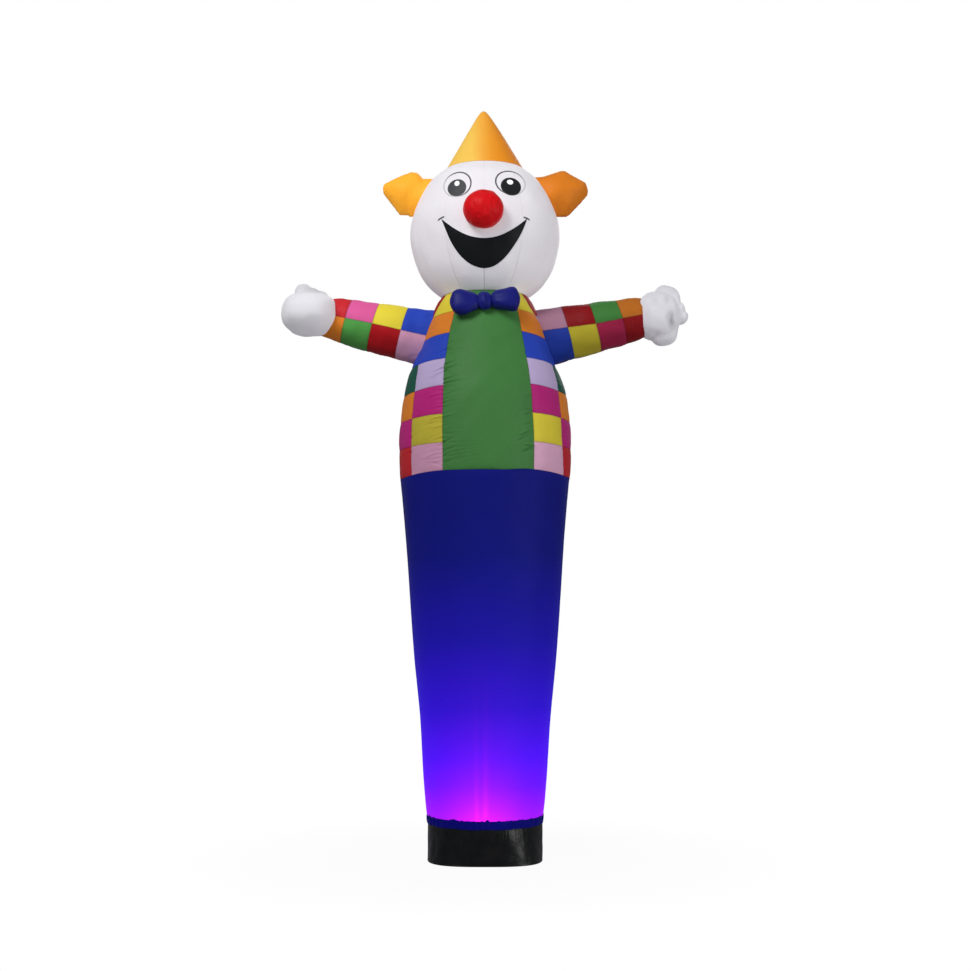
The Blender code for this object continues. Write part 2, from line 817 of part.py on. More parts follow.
def make_base_floor(parts, material):
    """The flat bottom: the ground outline, as thick as the cover."""
    curve = bpy.data.curves.new("base_floor", "CURVE")
    curve.dimensions = "2D"
    curve.fill_mode = "BOTH"
    curve.extrude = COVER / 2
    line = curve.splines.new("POLY")
    points = ring_at(BASE_SIDES, 0.0, base_outline(0.0), 0.0)
    line.points.add(len(points) - 1)
    for place, point in zip(line.points, points):
        place.co = (point.x, point.y, 0.0, 1.0)
    line.use_cyclic_u = True
    made = add_object("base_floor", curve, material, parts)
    made.location.z = COVER / 2


# ---------- the whole figure ----------


def main():
    empty_scene()
    parts = new_collection("inflatable_air_dancer")
    cutters = new_collection("cutters")
    cloths = {row[0]: cloth_material(*row) for row in CLOTHS}
    orange = cloths["orange_cloth"]
    white = cloths["white_cloth"]
    black = cloths["black_cloth"]
    patches = cloths["patchwork_cloth"]
    cover = cloths["black_cover"]

    make_hat(parts, orange)
    make_head(parts, white)
    make_nose(parts, cloths["red_cloth"])
    make_mouth(parts, black)
    make_bow(parts, cloths["bow_cloth"])
    make_front_panel(parts, cloths["green_cloth"])
    make_trousers(parts, cloths["trouser_cloth"])
    make_hem(parts, cloths["hem_cloth"])
    make_base_wall(parts, cover)
    make_base_floor(parts, cover)
    for side in (-1, 1):
        make_pupil(side, parts, black)
        make_vest_side(side, parts, cutters, patches)
    make_tuft(-1, TUFT_STATIONS_LEFT, parts, orange)
    make_tuft(1, TUFT_STATIONS_RIGHT, parts, orange)
    left_glove = (Vector(LEFT_HAND_MIDDLE), LEFT_HAND_LOBES)
    right_glove = (Vector(RIGHT_HAND_MIDDLE), RIGHT_HAND_LOBES)
    make_hand(-1, *left_glove, parts, white)
    make_hand(1, *right_glove, parts, white)
    make_sleeve(-1, *left_glove, LEFT_WRIST_GAP, parts, patches)
    make_sleeve(1, *right_glove, RIGHT_WRIST_GAP, parts, patches)


main()
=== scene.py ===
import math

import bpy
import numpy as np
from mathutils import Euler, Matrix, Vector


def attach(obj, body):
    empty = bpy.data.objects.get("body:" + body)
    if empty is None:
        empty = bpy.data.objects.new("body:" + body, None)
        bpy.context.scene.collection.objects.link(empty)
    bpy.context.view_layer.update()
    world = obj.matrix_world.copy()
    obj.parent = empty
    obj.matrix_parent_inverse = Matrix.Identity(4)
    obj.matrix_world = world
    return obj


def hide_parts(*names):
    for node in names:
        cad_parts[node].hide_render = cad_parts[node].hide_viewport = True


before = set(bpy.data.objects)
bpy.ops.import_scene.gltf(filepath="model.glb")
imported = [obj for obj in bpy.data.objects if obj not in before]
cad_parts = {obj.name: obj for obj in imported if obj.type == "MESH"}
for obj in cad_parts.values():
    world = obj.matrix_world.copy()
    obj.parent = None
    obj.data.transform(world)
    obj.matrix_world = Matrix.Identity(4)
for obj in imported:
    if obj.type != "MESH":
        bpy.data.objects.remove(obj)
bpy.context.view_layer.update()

# The looks of an inflatable clown air dancer. Metres, +Z up, the front faces -Y, and left is
# -X as seen from the front. An azimuth is an angle about Z, 0 at the front and positive
# towards +X. A side is -1 for the left and 1 for the right. Every skin is a function of two
# parameters, worked out on a grid.

TURN = 2 * math.pi
SIDES = {-1: "left", 1: "right"}

# ---------- sizes of the figure, as in the part's own source ----------

HAT_RINGS = (
    # height, radius, from the base of the cone to its tip
    (4.138, 0.2400),
    (4.227, 0.1880),
    (4.299, 0.1450),
    (4.372, 0.1010),
    (4.444, 0.0560),
    (4.478, 0.0330),
    (4.497, 0.0170),
    (4.506, 0.0),
)
HAT_LEAN = -0.009  # the tip lies this far to one side
HAT_SLANT = 0.41  # length of its side
HEAD_RINGS = (
    # height, radius
    (3.368, 0.261),
    (3.431, 0.335),
    (3.485, 0.378),
    (3.560, 0.416),
    (3.650, 0.443),
    (3.739, 0.452),
    (3.829, 0.444),
    (3.920, 0.411),
    (4.004, 0.369),
    (4.080, 0.313),
    (4.138, 0.240),
)
VEST_RINGS = (
    (2.291, 0.513),
    (2.500, 0.516),
    (2.683, 0.504),
    (2.800, 0.487),
    (2.905, 0.459),
    (2.985, 0.426),
    (3.140, 0.366),
    (3.292, 0.304),
    (3.368, 0.261),
)
TROUSER_RINGS = (
    (0.262, 0.352),
    (0.483, 0.370),
    (0.844, 0.393),
    (1.206, 0.428),
    (1.568, 0.457),
    (1.985, 0.488),
    (2.291, 0.513),
)
HEAD_LOW, HEAD_HIGH = 3.368, 4.138
VEST_LOW, VEST_HIGH = 2.289, 3.368
TROUSER_LOW = 0.262

CLOTH = 0.0012  # thickness of a nylon skin
GORE = TURN / 12  # turn of a head gore
HEAD_TURN = math.radians(-0.8)  # azimuth of the seam in the middle of the face
TROUSER_PANEL = TURN / 6
VEST_TURN = math.radians(2.9)  # azimuth of the middle of the front panel at the waist
PATCH_BORDERS = np.array([2.289, 2.449, 2.615, 2.784, 2.948, 3.108, 3.2415, 3.368])
VEST_SEAMS = (
    # height, then the azimuths of the front panel's edges and of the next two seams, in degrees
    (2.291, -28.4, 33.7, -57.6, 65.2),
    (2.500, -28.5, 33.5, -57.7, 61.9),
    (2.683, -28.8, 33.1, -57.8, 61.7),
    (2.800, -29.8, 32.9, -58.5, 63.0),
    (2.905, -31.0, 33.3, -61.0, 66.0),
    (2.985, -32.2, 34.0, -67.0, 73.0),
    (3.140, -33.9, 35.2, -82.0, 82.0),
    (3.292, -33.7, 35.6, -70.0, 60.0),
    (3.368, -33.5, 35.8, -66.0, 59.0),
)

DROOPS = (
    # height, how much lower the rows hang there at the sides than at the front and back
    (1.900, 0.0000),
    (2.100, 0.0100),
    (2.289, 0.0250),
    (2.449, 0.0135),
    (2.615, 0.0165),
    (2.784, 0.0270),
    (2.948, 0.0170),
    (3.108, 0.0195),
    (3.236, 0.0150),
    (3.330, 0.0000),
)
DROOP_START, DROOP_END = math.radians(25), math.radians(80)  # away from the front or the back
RIGHT_RISES = (
    # height, how much higher the rows sit there on the right side
    (1.900, 0.0000),
    (2.289, 0.0085),
    (2.449, 0.0085),
    (2.615, 0.0105),
    (2.784, 0.0105),
    (2.948, 0.0060),
    (3.108, 0.0090),
    (3.236, 0.0120),
    (3.368, 0.0000),
)
SIDE_HOLLOW = 0.009  # the right side is this much slimmer under the arm

SEAM_DEPTH = 0.0035  # a seam lies this far inside the outline
GORE_BULGE = 0.0060
PATCH_BULGE = 0.0055
FRONT_BULGE = 0.0085
TROUSER_BULGE = 0.0040
END_FADE = 0.012  # creases and bulges rise over this distance from a ring seam
PATCH_HALF = 0.078  # half the height of a patch
# rounded radii of the level seams, for the creases that start at them
COLLAR_RADIUS, HAT_SEAM_RADIUS, WAIST_RADIUS, HEM_SEAM_RADIUS = 0.26, 0.23, 0.51, 0.36

ARM_ROOT_HEIGHT, ARM_RISE, ARM_REACH = 3.049, 0.2114, 1.075
SLEEVE_ROOT_RADIUS, SLEEVE_END_RADIUS = 0.200, 0.116
SLEEVE_ROOT_DEPTH = 0.67  # depth over height of a sleeve's section at its root
SLEEVE_OVAL_END, SLEEVE_ROUND_START = 0.30, 0.70
SLEEVE_SAG = 0.004
CUFF_TAPER = 0.010
ARMHOLE_HALF_HEIGHT, ARMHOLE_HALF_DEPTH = 0.135, 0.088
CUFF_BORDERS = {
    # distances of the patch borders from the middle plane, along X
    -1: np.array([0.502, 0.672, 0.834]),
    1: np.array([0.497, 0.661, 0.819]),
}
SLEEVE_TWISTS = {-1: 0.0, 1: 0.17}  # turn of a sleeve's rows at its root, in radians
SLEEVE_UNDER = 0.14  # the lowest seam is turned this far under the arm, in radians
CUFF_TILT = 0.009  # a border lies this much nearer the body on the arm's top
ARMHOLE_REACH, CUFF_REACH = 0.34, 0.955  # where the creases of a sleeve's ends start
# rounded radii of a sleeve, for its creases
ARM_RADIUS, ARMHOLE_RADIUS, CUFF_RADIUS = 0.17, 0.18, 0.12

HAND_MIDDLES = {-1: np.array([-1.055, -0.070, 3.255]), 1: np.array([1.086, -0.010, 3.262])}
HAND_LOBES = {
    # outwards, back, up, half outwards, half back, half up
    -1: (
        (0.000, 0.000, 0.000, 0.162, 0.225, 0.128),
        (-0.080, 0.000, 0.050, 0.080, 0.120, 0.066),
        (0.040, 0.075, 0.117, 0.056, 0.080, 0.080),
        (-0.010, 0.078, 0.100, 0.060, 0.080, 0.076),
        (-0.052, 0.075, 0.080, 0.066, 0.080, 0.074),
    ),
    1: (
        (-0.044, 0.000, -0.008, 0.132, 0.150, 0.146),
        (0.008, 0.010, 0.098, 0.076, 0.080, 0.084),
        (0.052, 0.005, 0.060, 0.044, 0.075, 0.088),
        (0.074, 0.003, 0.022, 0.046, 0.065, 0.062),
        (0.092, 0.000, -0.016, 0.046, 0.060, 0.041),
        (-0.010, -0.010, -0.100, 0.085, 0.080, 0.086),
    ),
}
LOBE_BLEND = 13.0
LOBE_POWER = 2.35  # 2 makes a lobe an ellipsoid, and more makes it squarer
HAND_REACH = 0.4  # no lobe reaches this far from the middle of its hand
GLOVE_LENGTH, GLOVE_RADIUS = 0.4, 0.15  # rounded, over its skin and round it
WRIST_ANGLE = math.radians(148)
WRIST_REACH = 0.93  # a glove's tip points away from the arm's axis at this distance outwards
WRIST_TUCK = 0.004  # a sleeve's end lies this far inside the glove

NOSE_MIDDLE = np.array([-0.010, -0.489, 3.788])
NOSE_RADIUS, NOSE_FLATTEN = 0.118, 0.94
NOSE_REACH = math.radians(170)
NOSE_LENGTH = 0.35  # over its skin, from the back to the tip
SEAT_TUCK = 0.003  # a rim that is sewn to the body lies this far inside its skin

TUFT_BACK = 0.050
TUFT_LIFT = 0.012
TUFT_OUT = {-1: 0.003, 1: 0.008}
TUFT_START, TUFT_END = 0.240, 0.6172  # outwards
TUFT_LENGTH, TUFT_DEPTH = 0.38, 0.11  # rounded, for a tuft's weave and creases
TUFT_TOPS = {
    # the upper edge: outwards, height
    -1: (
        (0.240, 4.070), (0.310, 4.092), (0.373, 4.093), (0.410, 4.129), (0.446, 4.134),
        (0.495, 4.117), (0.560, 4.086), (0.600, 4.067), (0.6160, 4.054), (0.6172, 4.035),
    ),
    1: (
        (0.240, 4.080), (0.310, 4.102), (0.357, 4.107), (0.455, 4.140), (0.480, 4.141),
        (0.532, 4.109), (0.590, 4.078), (0.604, 4.070), (0.6150, 4.038), (0.6172, 4.022),
    ),
}
TUFT_LOWS = {
    # the lower edge: outwards, height
    -1: (
        (0.240, 3.868), (0.455, 3.862), (0.466, 3.872), (0.516, 3.873), (0.560, 3.931),
        (0.600, 3.983), (0.6160, 4.003), (0.6172, 4.025),
    ),
    1: (
        (0.240, 3.864), (0.430, 3.862), (0.487, 3.861), (0.507, 3.873), (0.573, 3.943),
        (0.600, 3.975), (0.6150, 3.992), (0.6172, 4.010),
    ),
}
TUFT_THICKNESS = (
    # outwards, half thickness
    (0.240, 0.105),
    (0.360, 0.112),
    (0.460, 0.108),
    (0.540, 0.088),
    (0.590, 0.058),
    (0.617, 0.022),
)

MOUTH_LEFT, MOUTH_RIGHT = -0.255, 0.246
MOUTH_CORNER_HEIGHT, MOUTH_TOP_HEIGHT = 3.760, 3.632
MOUTH_LOWER_EDGE = (
    # across, height
    (-0.255, 3.760),
    (-0.236, 3.712),
    (-0.207, 3.640),
    (-0.163, 3.566),
    (-0.110, 3.511),
    (-0.052, 3.480),
    (0.000, 3.472),
    (0.052, 3.483),
    (0.113, 3.527),
    (0.169, 3.598),
    (0.212, 3.672),
    (0.231, 3.716),
    (0.246, 3.760),
)
PATCH_LIFT = 0.0026  # of a face patch over the head's skin
PUPIL_MIDDLES = {-1: (-0.1640, 3.9445), 1: (0.1515, 3.9510)}  # across, height
PUPIL_HALF_SIZES = {-1: (0.0545, 0.0565), 1: (0.0590, 0.0600)}

BOW_HEIGHT, BOW_DEPTH = 3.287, 0.349
BOW_TILT, BOW_LEAN = math.radians(4), math.radians(18)
KNOT_HALF_SIZE = (0.045, 0.039, 0.056)
KNOT_RADIUS, KNOT_RISE = 0.04, 0.05  # rounded, for the knot's folds and weave
LOBE_START, LOBE_END = 0.028, 0.206
LOBE_LENGTH, LOBE_RADIUS = 0.17, 0.06  # rounded, for a lobe's creases and weave

HEM_LOW, HEM_HIGH, HEM_RADIUS = 0.202, 0.262, 0.3435
HEM_GATHERS = 41
BASE_RADIUS = 0.344
BASE_GROUND_POWER = 3.0  # 2 is a circle, and more is squarer
WALL_HIGH = 0.2165
COVER = 0.0025  # thickness of the coated cover
RIBS = 131
RIB_TURN = math.radians(33)  # the cover's ribs are strongest at this azimuth

# ---------- chance values and creases ----------


def smooth_table(x, table):
    """Cubic through the rows of a table of x and y. Its slope at each row is that of the line
    between the row's two neighbours."""
    xs, ys = np.array(table, float).T
    slope = np.gradient(ys, xs)
    i = np.clip(np.searchsorted(xs, x) - 1, 0, len(xs) - 2)
    step = xs[i + 1] - xs[i]
    t = np.clip((x - xs[i]) / step, 0, 1)
    start = (2 * t**3 - 3 * t**2 + 1) * ys[i] + (t**3 - 2 * t**2 + t) * step * slope[i]
    end = (3 * t**2 - 2 * t**3) * ys[i + 1] + (t**3 - t**2) * step * slope[i + 1]
    return start + end


def straight_table(x, table):
    """Straight lines between the rows of a table of x and y."""
    xs, ys = np.array(table, float).T
    return np.interp(x, xs, ys)


def eased(x, low, high):
    """0 below low, 1 above high, smooth between."""
    t = np.clip((x - low) / (high - low), 0, 1)
    return t * t * (3 - 2 * t)


def uneven(x, seed, shortest, longest, around=None, waves=7):
    """Smooth chance values about 0, deviation 1: sine waves of random lengths and places. On a
    ring that is around long, a whole number of each wave fits."""
    chance = np.random.default_rng(seed)
    lengths = shortest * (longest / shortest) ** chance.random(waves)
    places = TURN * chance.random(waves)
    if around:
        lengths = around / np.maximum(np.round(around / lengths), 1)
    total = sum(np.sin(TURN * x / a + b) for a, b in zip(lengths, places))
    return total * math.sqrt(2 / waves)


def relief(points, seed, shortest, longest, waves=12):
    """Smooth chance hills about 0, deviation 1: plane sine waves of random lengths, directions
    and places through space."""
    chance = np.random.default_rng(seed)
    lengths = shortest * (longest / shortest) ** chance.random(waves)
    ways = chance.normal(size=(waves, 3))
    places = TURN * chance.random(waves)
    total = 0
    for length, way, place in zip(lengths, ways, places):
        total = total + np.sin(TURN * (points @ way) / np.linalg.norm(way) / length + place)
    return total * math.sqrt(2 / waves)


def puckers(along, away, seed, spacing, reach, around=None, keen=5.0):
    """Creases that start at a seam and fade away from it, 0 between them and -1 in the deepest.
    They come about once each spacing along the seam. Each has its own strength, its own reach
    and a slight slant, and it widens as it goes."""
    if around:
        spacing = around / round(around / spacing)
    slant = 0.35 * away * uneven(along, seed + 3, 5 * spacing, 12 * spacing, around)
    drift = 0.55 * uneven(along, seed, 3 * spacing, 9 * spacing, around)
    place = (along + slant) / spacing + drift
    sharp = keen / (1 + away / reach)
    crease = -np.abs(np.cos(math.pi * place)) ** (1 + sharp)
    strength = 0.5 + 0.5 * uneven(along, seed + 1, 2 * spacing, 7 * spacing, around)
    far = 1 + 0.55 * uneven(along, seed + 2, 2 * spacing, 6 * spacing, around)
    fall = np.exp(-away / (reach * np.clip(far, 0.35, 2.2)))
    return np.clip(strength, 0.05, 1.4) * crease * fall


def ring_puckers(azimuth, away, seed, spacing, reach, radius):
    """Creases that start at a level seam, whose ring has about this radius."""
    return puckers(azimuth * radius, away, seed, spacing, reach, TURN * radius)


def hill(x, z, at_x, at_z, half_x, half_z):
    """1 at a place, falling smoothly to a third at half_x or half_z from it."""
    return np.exp(-(((x - at_x) / half_x) ** 2) - ((z - at_z) / half_z) ** 2)


def wrapped(angle):
    """An angle brought to between minus and plus half a turn."""
    return (angle + math.pi) % TURN - math.pi


# ---------- skins of the turned figure: radius from azimuth and height ----------


def turned(azimuth, radius, height):
    """Points at an azimuth, a radius and a height."""
    return np.stack([radius * np.sin(azimuth), -radius * np.cos(azimuth), height + 0 * azimuth], -1)


def head_skin(azimuth, height):
    """Outline radius, with a swelling between the seams of the twelve gores, a valley and short
    creases at each seam, deeper below the mouth, and creases at the hat's seam and the collar."""
    radius = smooth_table(height, HEAD_RINGS)
    place = (azimuth - HEAD_TURN) / GORE
    seam = np.round(place)
    share = 2 * np.abs(place - seam)
    away = share / 2 * GORE * radius
    low, high = 1.5 * (height - HEAD_LOW), 1.4 * (HEAD_HIGH - height)
    to_end = np.minimum(low, high)
    front = np.where(np.cos(seam * GORE) > 0.8, 1.0, 0.5)
    depth = (0.24 + 0.76 * eased(-height, -3.66, -3.50)) * front
    folds = puckers(height + 5.3 * np.mod(seam, 12), away, 11, 0.034, 0.022)
    swelling = depth * (GORE_BULGE * (1 - (1 - share) ** 3) + 0.0020 * folds)
    swelling = swelling + 0.0014 * relief(turned(azimuth, radius, height), 12, 0.12, 0.50)
    ring = 0.0036 * ring_puckers(azimuth, low, 21, 0.036, 0.055, COLLAR_RADIUS)
    ring = ring + 0.0016 * ring_puckers(azimuth, high, 22, 0.036, 0.030, HAT_SEAM_RADIUS)
    inner = (1 - np.exp(-to_end / END_FADE)) * swelling
    return radius - SEAM_DEPTH * (0.5 + 0.5 * depth) + inner + ring


def hat_skin(azimuth, slant):
    """Points of the cone at a share of its slant, 0 at its base and 1 at its tip. A ridge right
    of the middle and soft flats turn its section a little out of round."""
    heights, radii = np.array(HAT_RINGS).T
    lengths = np.concatenate([[0], np.cumsum(np.hypot(np.diff(heights), np.diff(radii)))])
    height = np.interp(slant, lengths / lengths[-1], heights)
    radius = np.interp(slant, lengths / lengths[-1], radii)
    low = slant * lengths[-1]
    rise = 1 - np.exp(-low / 0.04)
    ridge = np.exp(-np.abs(wrapped(azimuth - math.radians(-2))) / math.radians(16))
    seam = np.exp(-np.abs(wrapped(azimuth - math.pi)) * radius / 0.008)
    flats = 0.045 * ridge + 0.004 * np.sin(3 * azimuth + 0.6) - 0.006
    folds = 0.0020 * ring_puckers(azimuth, low, 22, 0.036, 0.030, HAT_SEAM_RADIUS)
    radius = radius * (1 + rise * flats) - 0.0025 * (1 - slant) + folds - 0.002 * seam * rise
    points = turned(azimuth, radius, height)
    points[..., 0] += HAT_LEAN * slant**2
    return points


def vest_seams(height):
    """Azimuths of the vest's seams at a height, from the back seam round the left side, the
    front and the right side to the back seam again."""
    table = np.array(VEST_SEAMS)
    edges = [np.radians(straight_table(height, table[:, [0, k]])) for k in (1, 2, 3, 4)]
    left, right, left_next, right_next = edges
    back = VEST_TURN + math.pi + 0 * height
    seams = [back - TURN + (left_next - back + TURN) * k / 4 for k in range(5)] + [left, right]
    seams += [right_next + (back - right_next) * k / 4 for k in range(5)]
    return np.stack(seams, -1)


FRONT_CREASES = (
    # from and to, across from the front panel's left edge; height at that edge; rise to the
    # right; lift, a ridge where positive and a trough where negative; half width
    (-0.090, 0.000, 3.012, 0.25, 0.0046, 0.0050),
    (-0.105, 0.000, 2.962, 0.28, -0.0037, 0.0055),
    (-0.110, 0.004, 2.896, 0.26, 0.0096, 0.0060),
    (-0.125, 0.004, 2.870, 0.27, 0.0093, 0.0060),
    (-0.100, -0.030, 2.846, 0.22, -0.0037, 0.0060),
    (-0.120, -0.010, 2.742, 0.16, 0.0039, 0.0060),
    (-0.090, 0.000, 2.706, 0.14, -0.0027, 0.0050),
    (-0.130, -0.008, 2.604, 0.16, 0.0063, 0.0055),
    (-0.125, -0.020, 2.577, 0.19, -0.0041, 0.0050),
    (-0.105, 0.000, 2.548, 0.14, 0.0046, 0.0050),
    (-0.075, 0.000, 2.476, 0.22, -0.0032, 0.0050),
    (-0.085, 0.000, 2.448, 0.26, 0.0049, 0.0055),
    (-0.150, -0.040, 2.402, 0.24, 0.0046, 0.0060),
    (-0.003, 0.069, 3.078, 0.30, 0.0046, 0.0045),
    (-0.003, 0.088, 3.044, 0.26, 0.0063, 0.0050),
    (-0.003, 0.106, 3.016, 0.20, 0.0073, 0.0050),
    (-0.003, 0.062, 2.985, 0.30, -0.0044, 0.0050),
    (-0.003, 0.075, 2.950, 0.24, 0.0042, 0.0045),
    (-0.003, 0.138, 2.912, 0.32, 0.0090, 0.0055),
    (-0.003, 0.150, 2.884, 0.25, 0.0100, 0.0060),
    (-0.003, 0.062, 2.862, 0.22, -0.0049, 0.0050),
    (-0.003, 0.125, 2.821, 0.26, 0.0078, 0.0050),
    (-0.003, 0.156, 2.797, 0.18, 0.0096, 0.0060),
    (-0.003, 0.075, 2.768, 0.15, -0.0049, 0.0050),
    (-0.003, 0.056, 2.728, 0.20, 0.0053, 0.0050),
    (-0.003, 0.094, 2.688, 0.16, 0.0049, 0.0050),
    (-0.003, 0.075, 2.640, 0.22, -0.0037, 0.0050),
    (-0.003, 0.106, 2.596, 0.24, 0.0049, 0.0055),
    (-0.003, 0.062, 2.540, 0.20, -0.0034, 0.0050),
    (-0.003, 0.112, 2.447, 0.32, -0.0060, 0.0065),
    (-0.003, 0.119, 2.392, 0.36, -0.0055, 0.0060),
    (-0.003, 0.062, 2.368, 0.24, -0.0070, 0.0060),
    (0.480, 0.590, 2.480, -0.10, 0.0078, 0.0070),
    (0.470, 0.590, 2.700, -0.12, 0.0035, 0.0060),
    (0.445, 0.548, 2.279, 0.45, 0.0052, 0.0050),
    (0.430, 0.548, 2.256, 0.43, -0.0045, 0.0050),
    (0.470, 0.546, 2.454, 0.20, 0.0042, 0.0045),
    (0.475, 0.546, 2.510, 0.20, 0.0040, 0.0045),
    (0.480, 0.548, 2.300, 0.22, 0.0042, 0.0050),
    (0.470, 0.548, 2.215, 0.35, -0.0045, 0.0050),
    (0.485, 0.546, 2.640, 0.15, 0.0036, 0.0045),
    (0.490, 0.544, 2.760, 0.10, 0.0036, 0.0045),
)


def placed_creases(across, height, table):
    """Soft ridges and troughs along short lines of a table, fading out at both ends. At the
    front panel's left edge they stop short, where its seam holds them."""
    total = 0
    for start, end, at, rise, lift, half in table:
        off = (height - at - rise * across) / half
        length = end - start
        grown, gone = start + 0.3 * length, start + 0.4 * length
        if abs(start) < 0.01:
            grown, gone = start + 0.006, start
        if abs(end) < 0.01:
            grown, gone = end, end - 0.006
        ends = eased(across, start, grown) * eased(-across, -end, -gone)
        total = total + lift * ends * np.exp(-off * off)
    return total


def vest_skin(azimuth, height):
    """Outline radius, with a soft swelling in each patch and in the green front, valleys along
    all seams, and creases that run level from the upright seams, longest at the front ones."""
    radius = smooth_table(height, VEST_RINGS)
    hollow = np.exp(-(((height - 2.94) / 0.09) ** 2)) * np.clip(np.sin(azimuth), 0, 1) ** 2
    radius = radius - SIDE_HOLLOW * hollow
    seams = vest_seams(height)
    turn = VEST_TURN + wrapped(azimuth - VEST_TURN)
    after = np.clip((turn[..., None] > seams).sum(-1), 1, 11)
    first = np.take_along_axis(seams, after[..., None] - 1, -1)[..., 0]
    last = np.take_along_axis(seams, after[..., None], -1)[..., 0]
    nearer_first = turn - first < last - turn
    angle = np.maximum(np.where(nearer_first, turn - first, last - turn), 0)
    seam = np.where(nearer_first, after - 1, after) % 11
    away = angle * radius
    front = after == 6
    rows = np.abs(height[..., None] - PATCH_BORDERS).min(-1)
    low, high = height - VEST_LOW, 1.2 * (VEST_HIGH - height)
    to_end = np.minimum(low, high)
    across = np.clip(2 * angle / (last - first), 0, 1)
    upright = np.clip(rows / PATCH_HALF, 0, 1)
    patch = PATCH_BULGE * (1 - (1 - across) ** 4) * (0.35 + 0.65 * (1 - (1 - upright) ** 4))
    panel = FRONT_BULGE * (1 - (1 - across) ** 2.6)
    swelling = np.where(front, panel, patch)
    strength = np.array(SEAM_CREASES)[seam, 0]
    reach = np.array(SEAM_CREASES)[seam, 1]
    along = height + 4.7 * seam + 0.10 * np.where(nearer_first, -away, away)
    long_ones = puckers(along, away, 31, 0.037, reach, keen=7.0)
    short = puckers(along, away, 37, 0.021, 0.45 * reach)
    broad = puckers(along, away, 35, 0.062, 1.5 * reach)
    strength = strength * (1 - 0.75 * eased(height, 3.00, 3.20))
    folds = strength * (0.0038 * long_ones + 0.0028 * short + 0.0040 * broad)
    folds = folds + placed_creases((turn - seams[..., 5]) * radius, height, FRONT_CREASES)
    level = ring_puckers(azimuth, rows, 39, 0.045, 0.020, 0.5)
    folds = folds + 0.0012 * np.where(front, 0, level)
    soft = 0.0016 * relief(turned(azimuth, radius, height), 40, 0.10, 0.40)
    ring = 0.0028 * ring_puckers(azimuth, high, 21, 0.040, 0.040, COLLAR_RADIUS)
    ring = ring + 0.0022 * ring_puckers(azimuth, low, 51, 0.048, 0.040, WAIST_RADIUS)
    inner = (1 - np.exp(-to_end / END_FADE)) * (swelling + folds + soft)
    return radius - SEAM_DEPTH + inner + ring


SEAM_CREASES = (
    # strength and reach of the creases at each seam, from the back seam round the left side
    (0.40, 0.040),
    (0.35, 0.040),
    (0.40, 0.040),
    (0.45, 0.045),
    (0.45, 0.040),
    (0.70, 0.055),
    (0.36, 0.050),
    (0.45, 0.040),
    (0.40, 0.040),
    (0.40, 0.040),
    (0.35, 0.040),
)


def trouser_skin(azimuth, height):
    """Outline radius, nearly smooth: a slight swelling between six seams, short creases at the
    waist and a few long, shallow upright waves above the hem."""
    radius = smooth_table(height, TROUSER_RINGS)
    place = azimuth / TROUSER_PANEL - 0.5
    seam = np.round(place)
    share = 2 * np.abs(place - seam)
    away = share / 2 * TROUSER_PANEL * radius
    low, high = height - TROUSER_LOW, VEST_LOW - height
    folds = 0.0012 * puckers(height + 6.1 * np.mod(seam, 6), away, 61, 0.042, 0.020)
    flat = turned(azimuth, radius, 0.22 * height)
    waves = 0.0024 * relief(flat, 62, 0.16, 0.60)
    swelling = TROUSER_BULGE * (1 - (1 - share) ** 4) + folds + waves
    ring = 0.0022 * ring_puckers(azimuth, high, 51, 0.048, 0.060, WAIST_RADIUS)
    ring = ring + 0.0030 * ring_puckers(azimuth, low, 63, 0.050, 0.070, HEM_SEAM_RADIUS)
    ends = (1 - np.exp(-high / END_FADE)) * (1 - np.exp(-low / 0.03))
    return radius - SEAM_DEPTH + ends * swelling + ring


def spaced(count, crowding=0.75):
    """Shares from 0 to 1, closer together towards both ends."""
    even = np.linspace(0, 1, count + 1)
    return (1 - crowding) * even + crowding * (0.5 - 0.5 * np.cos(math.pi * even))


def drooped(azimuth, height):
    """Height at which a place of the vest or trousers really hangs: lower at the sides than at
    the front, from the chest down to the upper trousers."""
    away = np.arcsin(np.clip(np.abs(np.sin(azimuth)), 0, 1))
    fall = smooth_table(height, DROOPS) * eased(away, DROOP_START, DROOP_END)
    return height - fall + smooth_table(height, RIGHT_RISES) * eased(np.sin(azimuth), 0.2, 0.5)


def round_grid(columns, shares):
    """Grids of the turns round a closed skin and of the shares along it."""
    return np.meshgrid(np.linspace(0, TURN, columns, endpoint=False), shares)


def turned_points(skin, azimuth, height):
    """Points of a turned skin on a grid of azimuths and heights."""
    return turned(azimuth, skin(azimuth, height), drooped(azimuth, height))


# ---------- meshes ----------


def grid_faces(rows, columns, closed):
    """Quads of a grid of rows by columns of points, in reading order. The first column follows
    the last where the grid is closed."""
    across = np.arange(columns if closed else columns - 1)
    row, column = np.meshgrid(np.arange(rows - 1), across, indexing="ij")
    after = (column + 1) % columns
    corners = [row * columns + column, row * columns + after]
    corners += [(row + 1) * columns + after, (row + 1) * columns + column]
    return np.stack(corners, -1).reshape(-1, 4)


def fan_faces(first, columns, pole, inwards):
    """Triangles from a closed row of points to one pole."""
    one = first + np.arange(columns)
    other = first + (np.arange(columns) + 1) % columns
    tip = np.full(columns, pole)
    return np.stack([other, one, tip] if inwards else [one, other, tip], -1)


def mark_open_edges(mesh):
    """Marks the free edges sharp, so that the shading breaks at the rim of a wall."""
    used = np.zeros(len(mesh.loops), np.int32)
    mesh.loops.foreach_get("edge_index", used)
    sharp = np.bincount(used, minlength=len(mesh.edges)) == 1
    flags = mesh.attributes.new("sharp_edge", "BOOLEAN", "EDGE")
    flags.data.foreach_set("value", sharp)


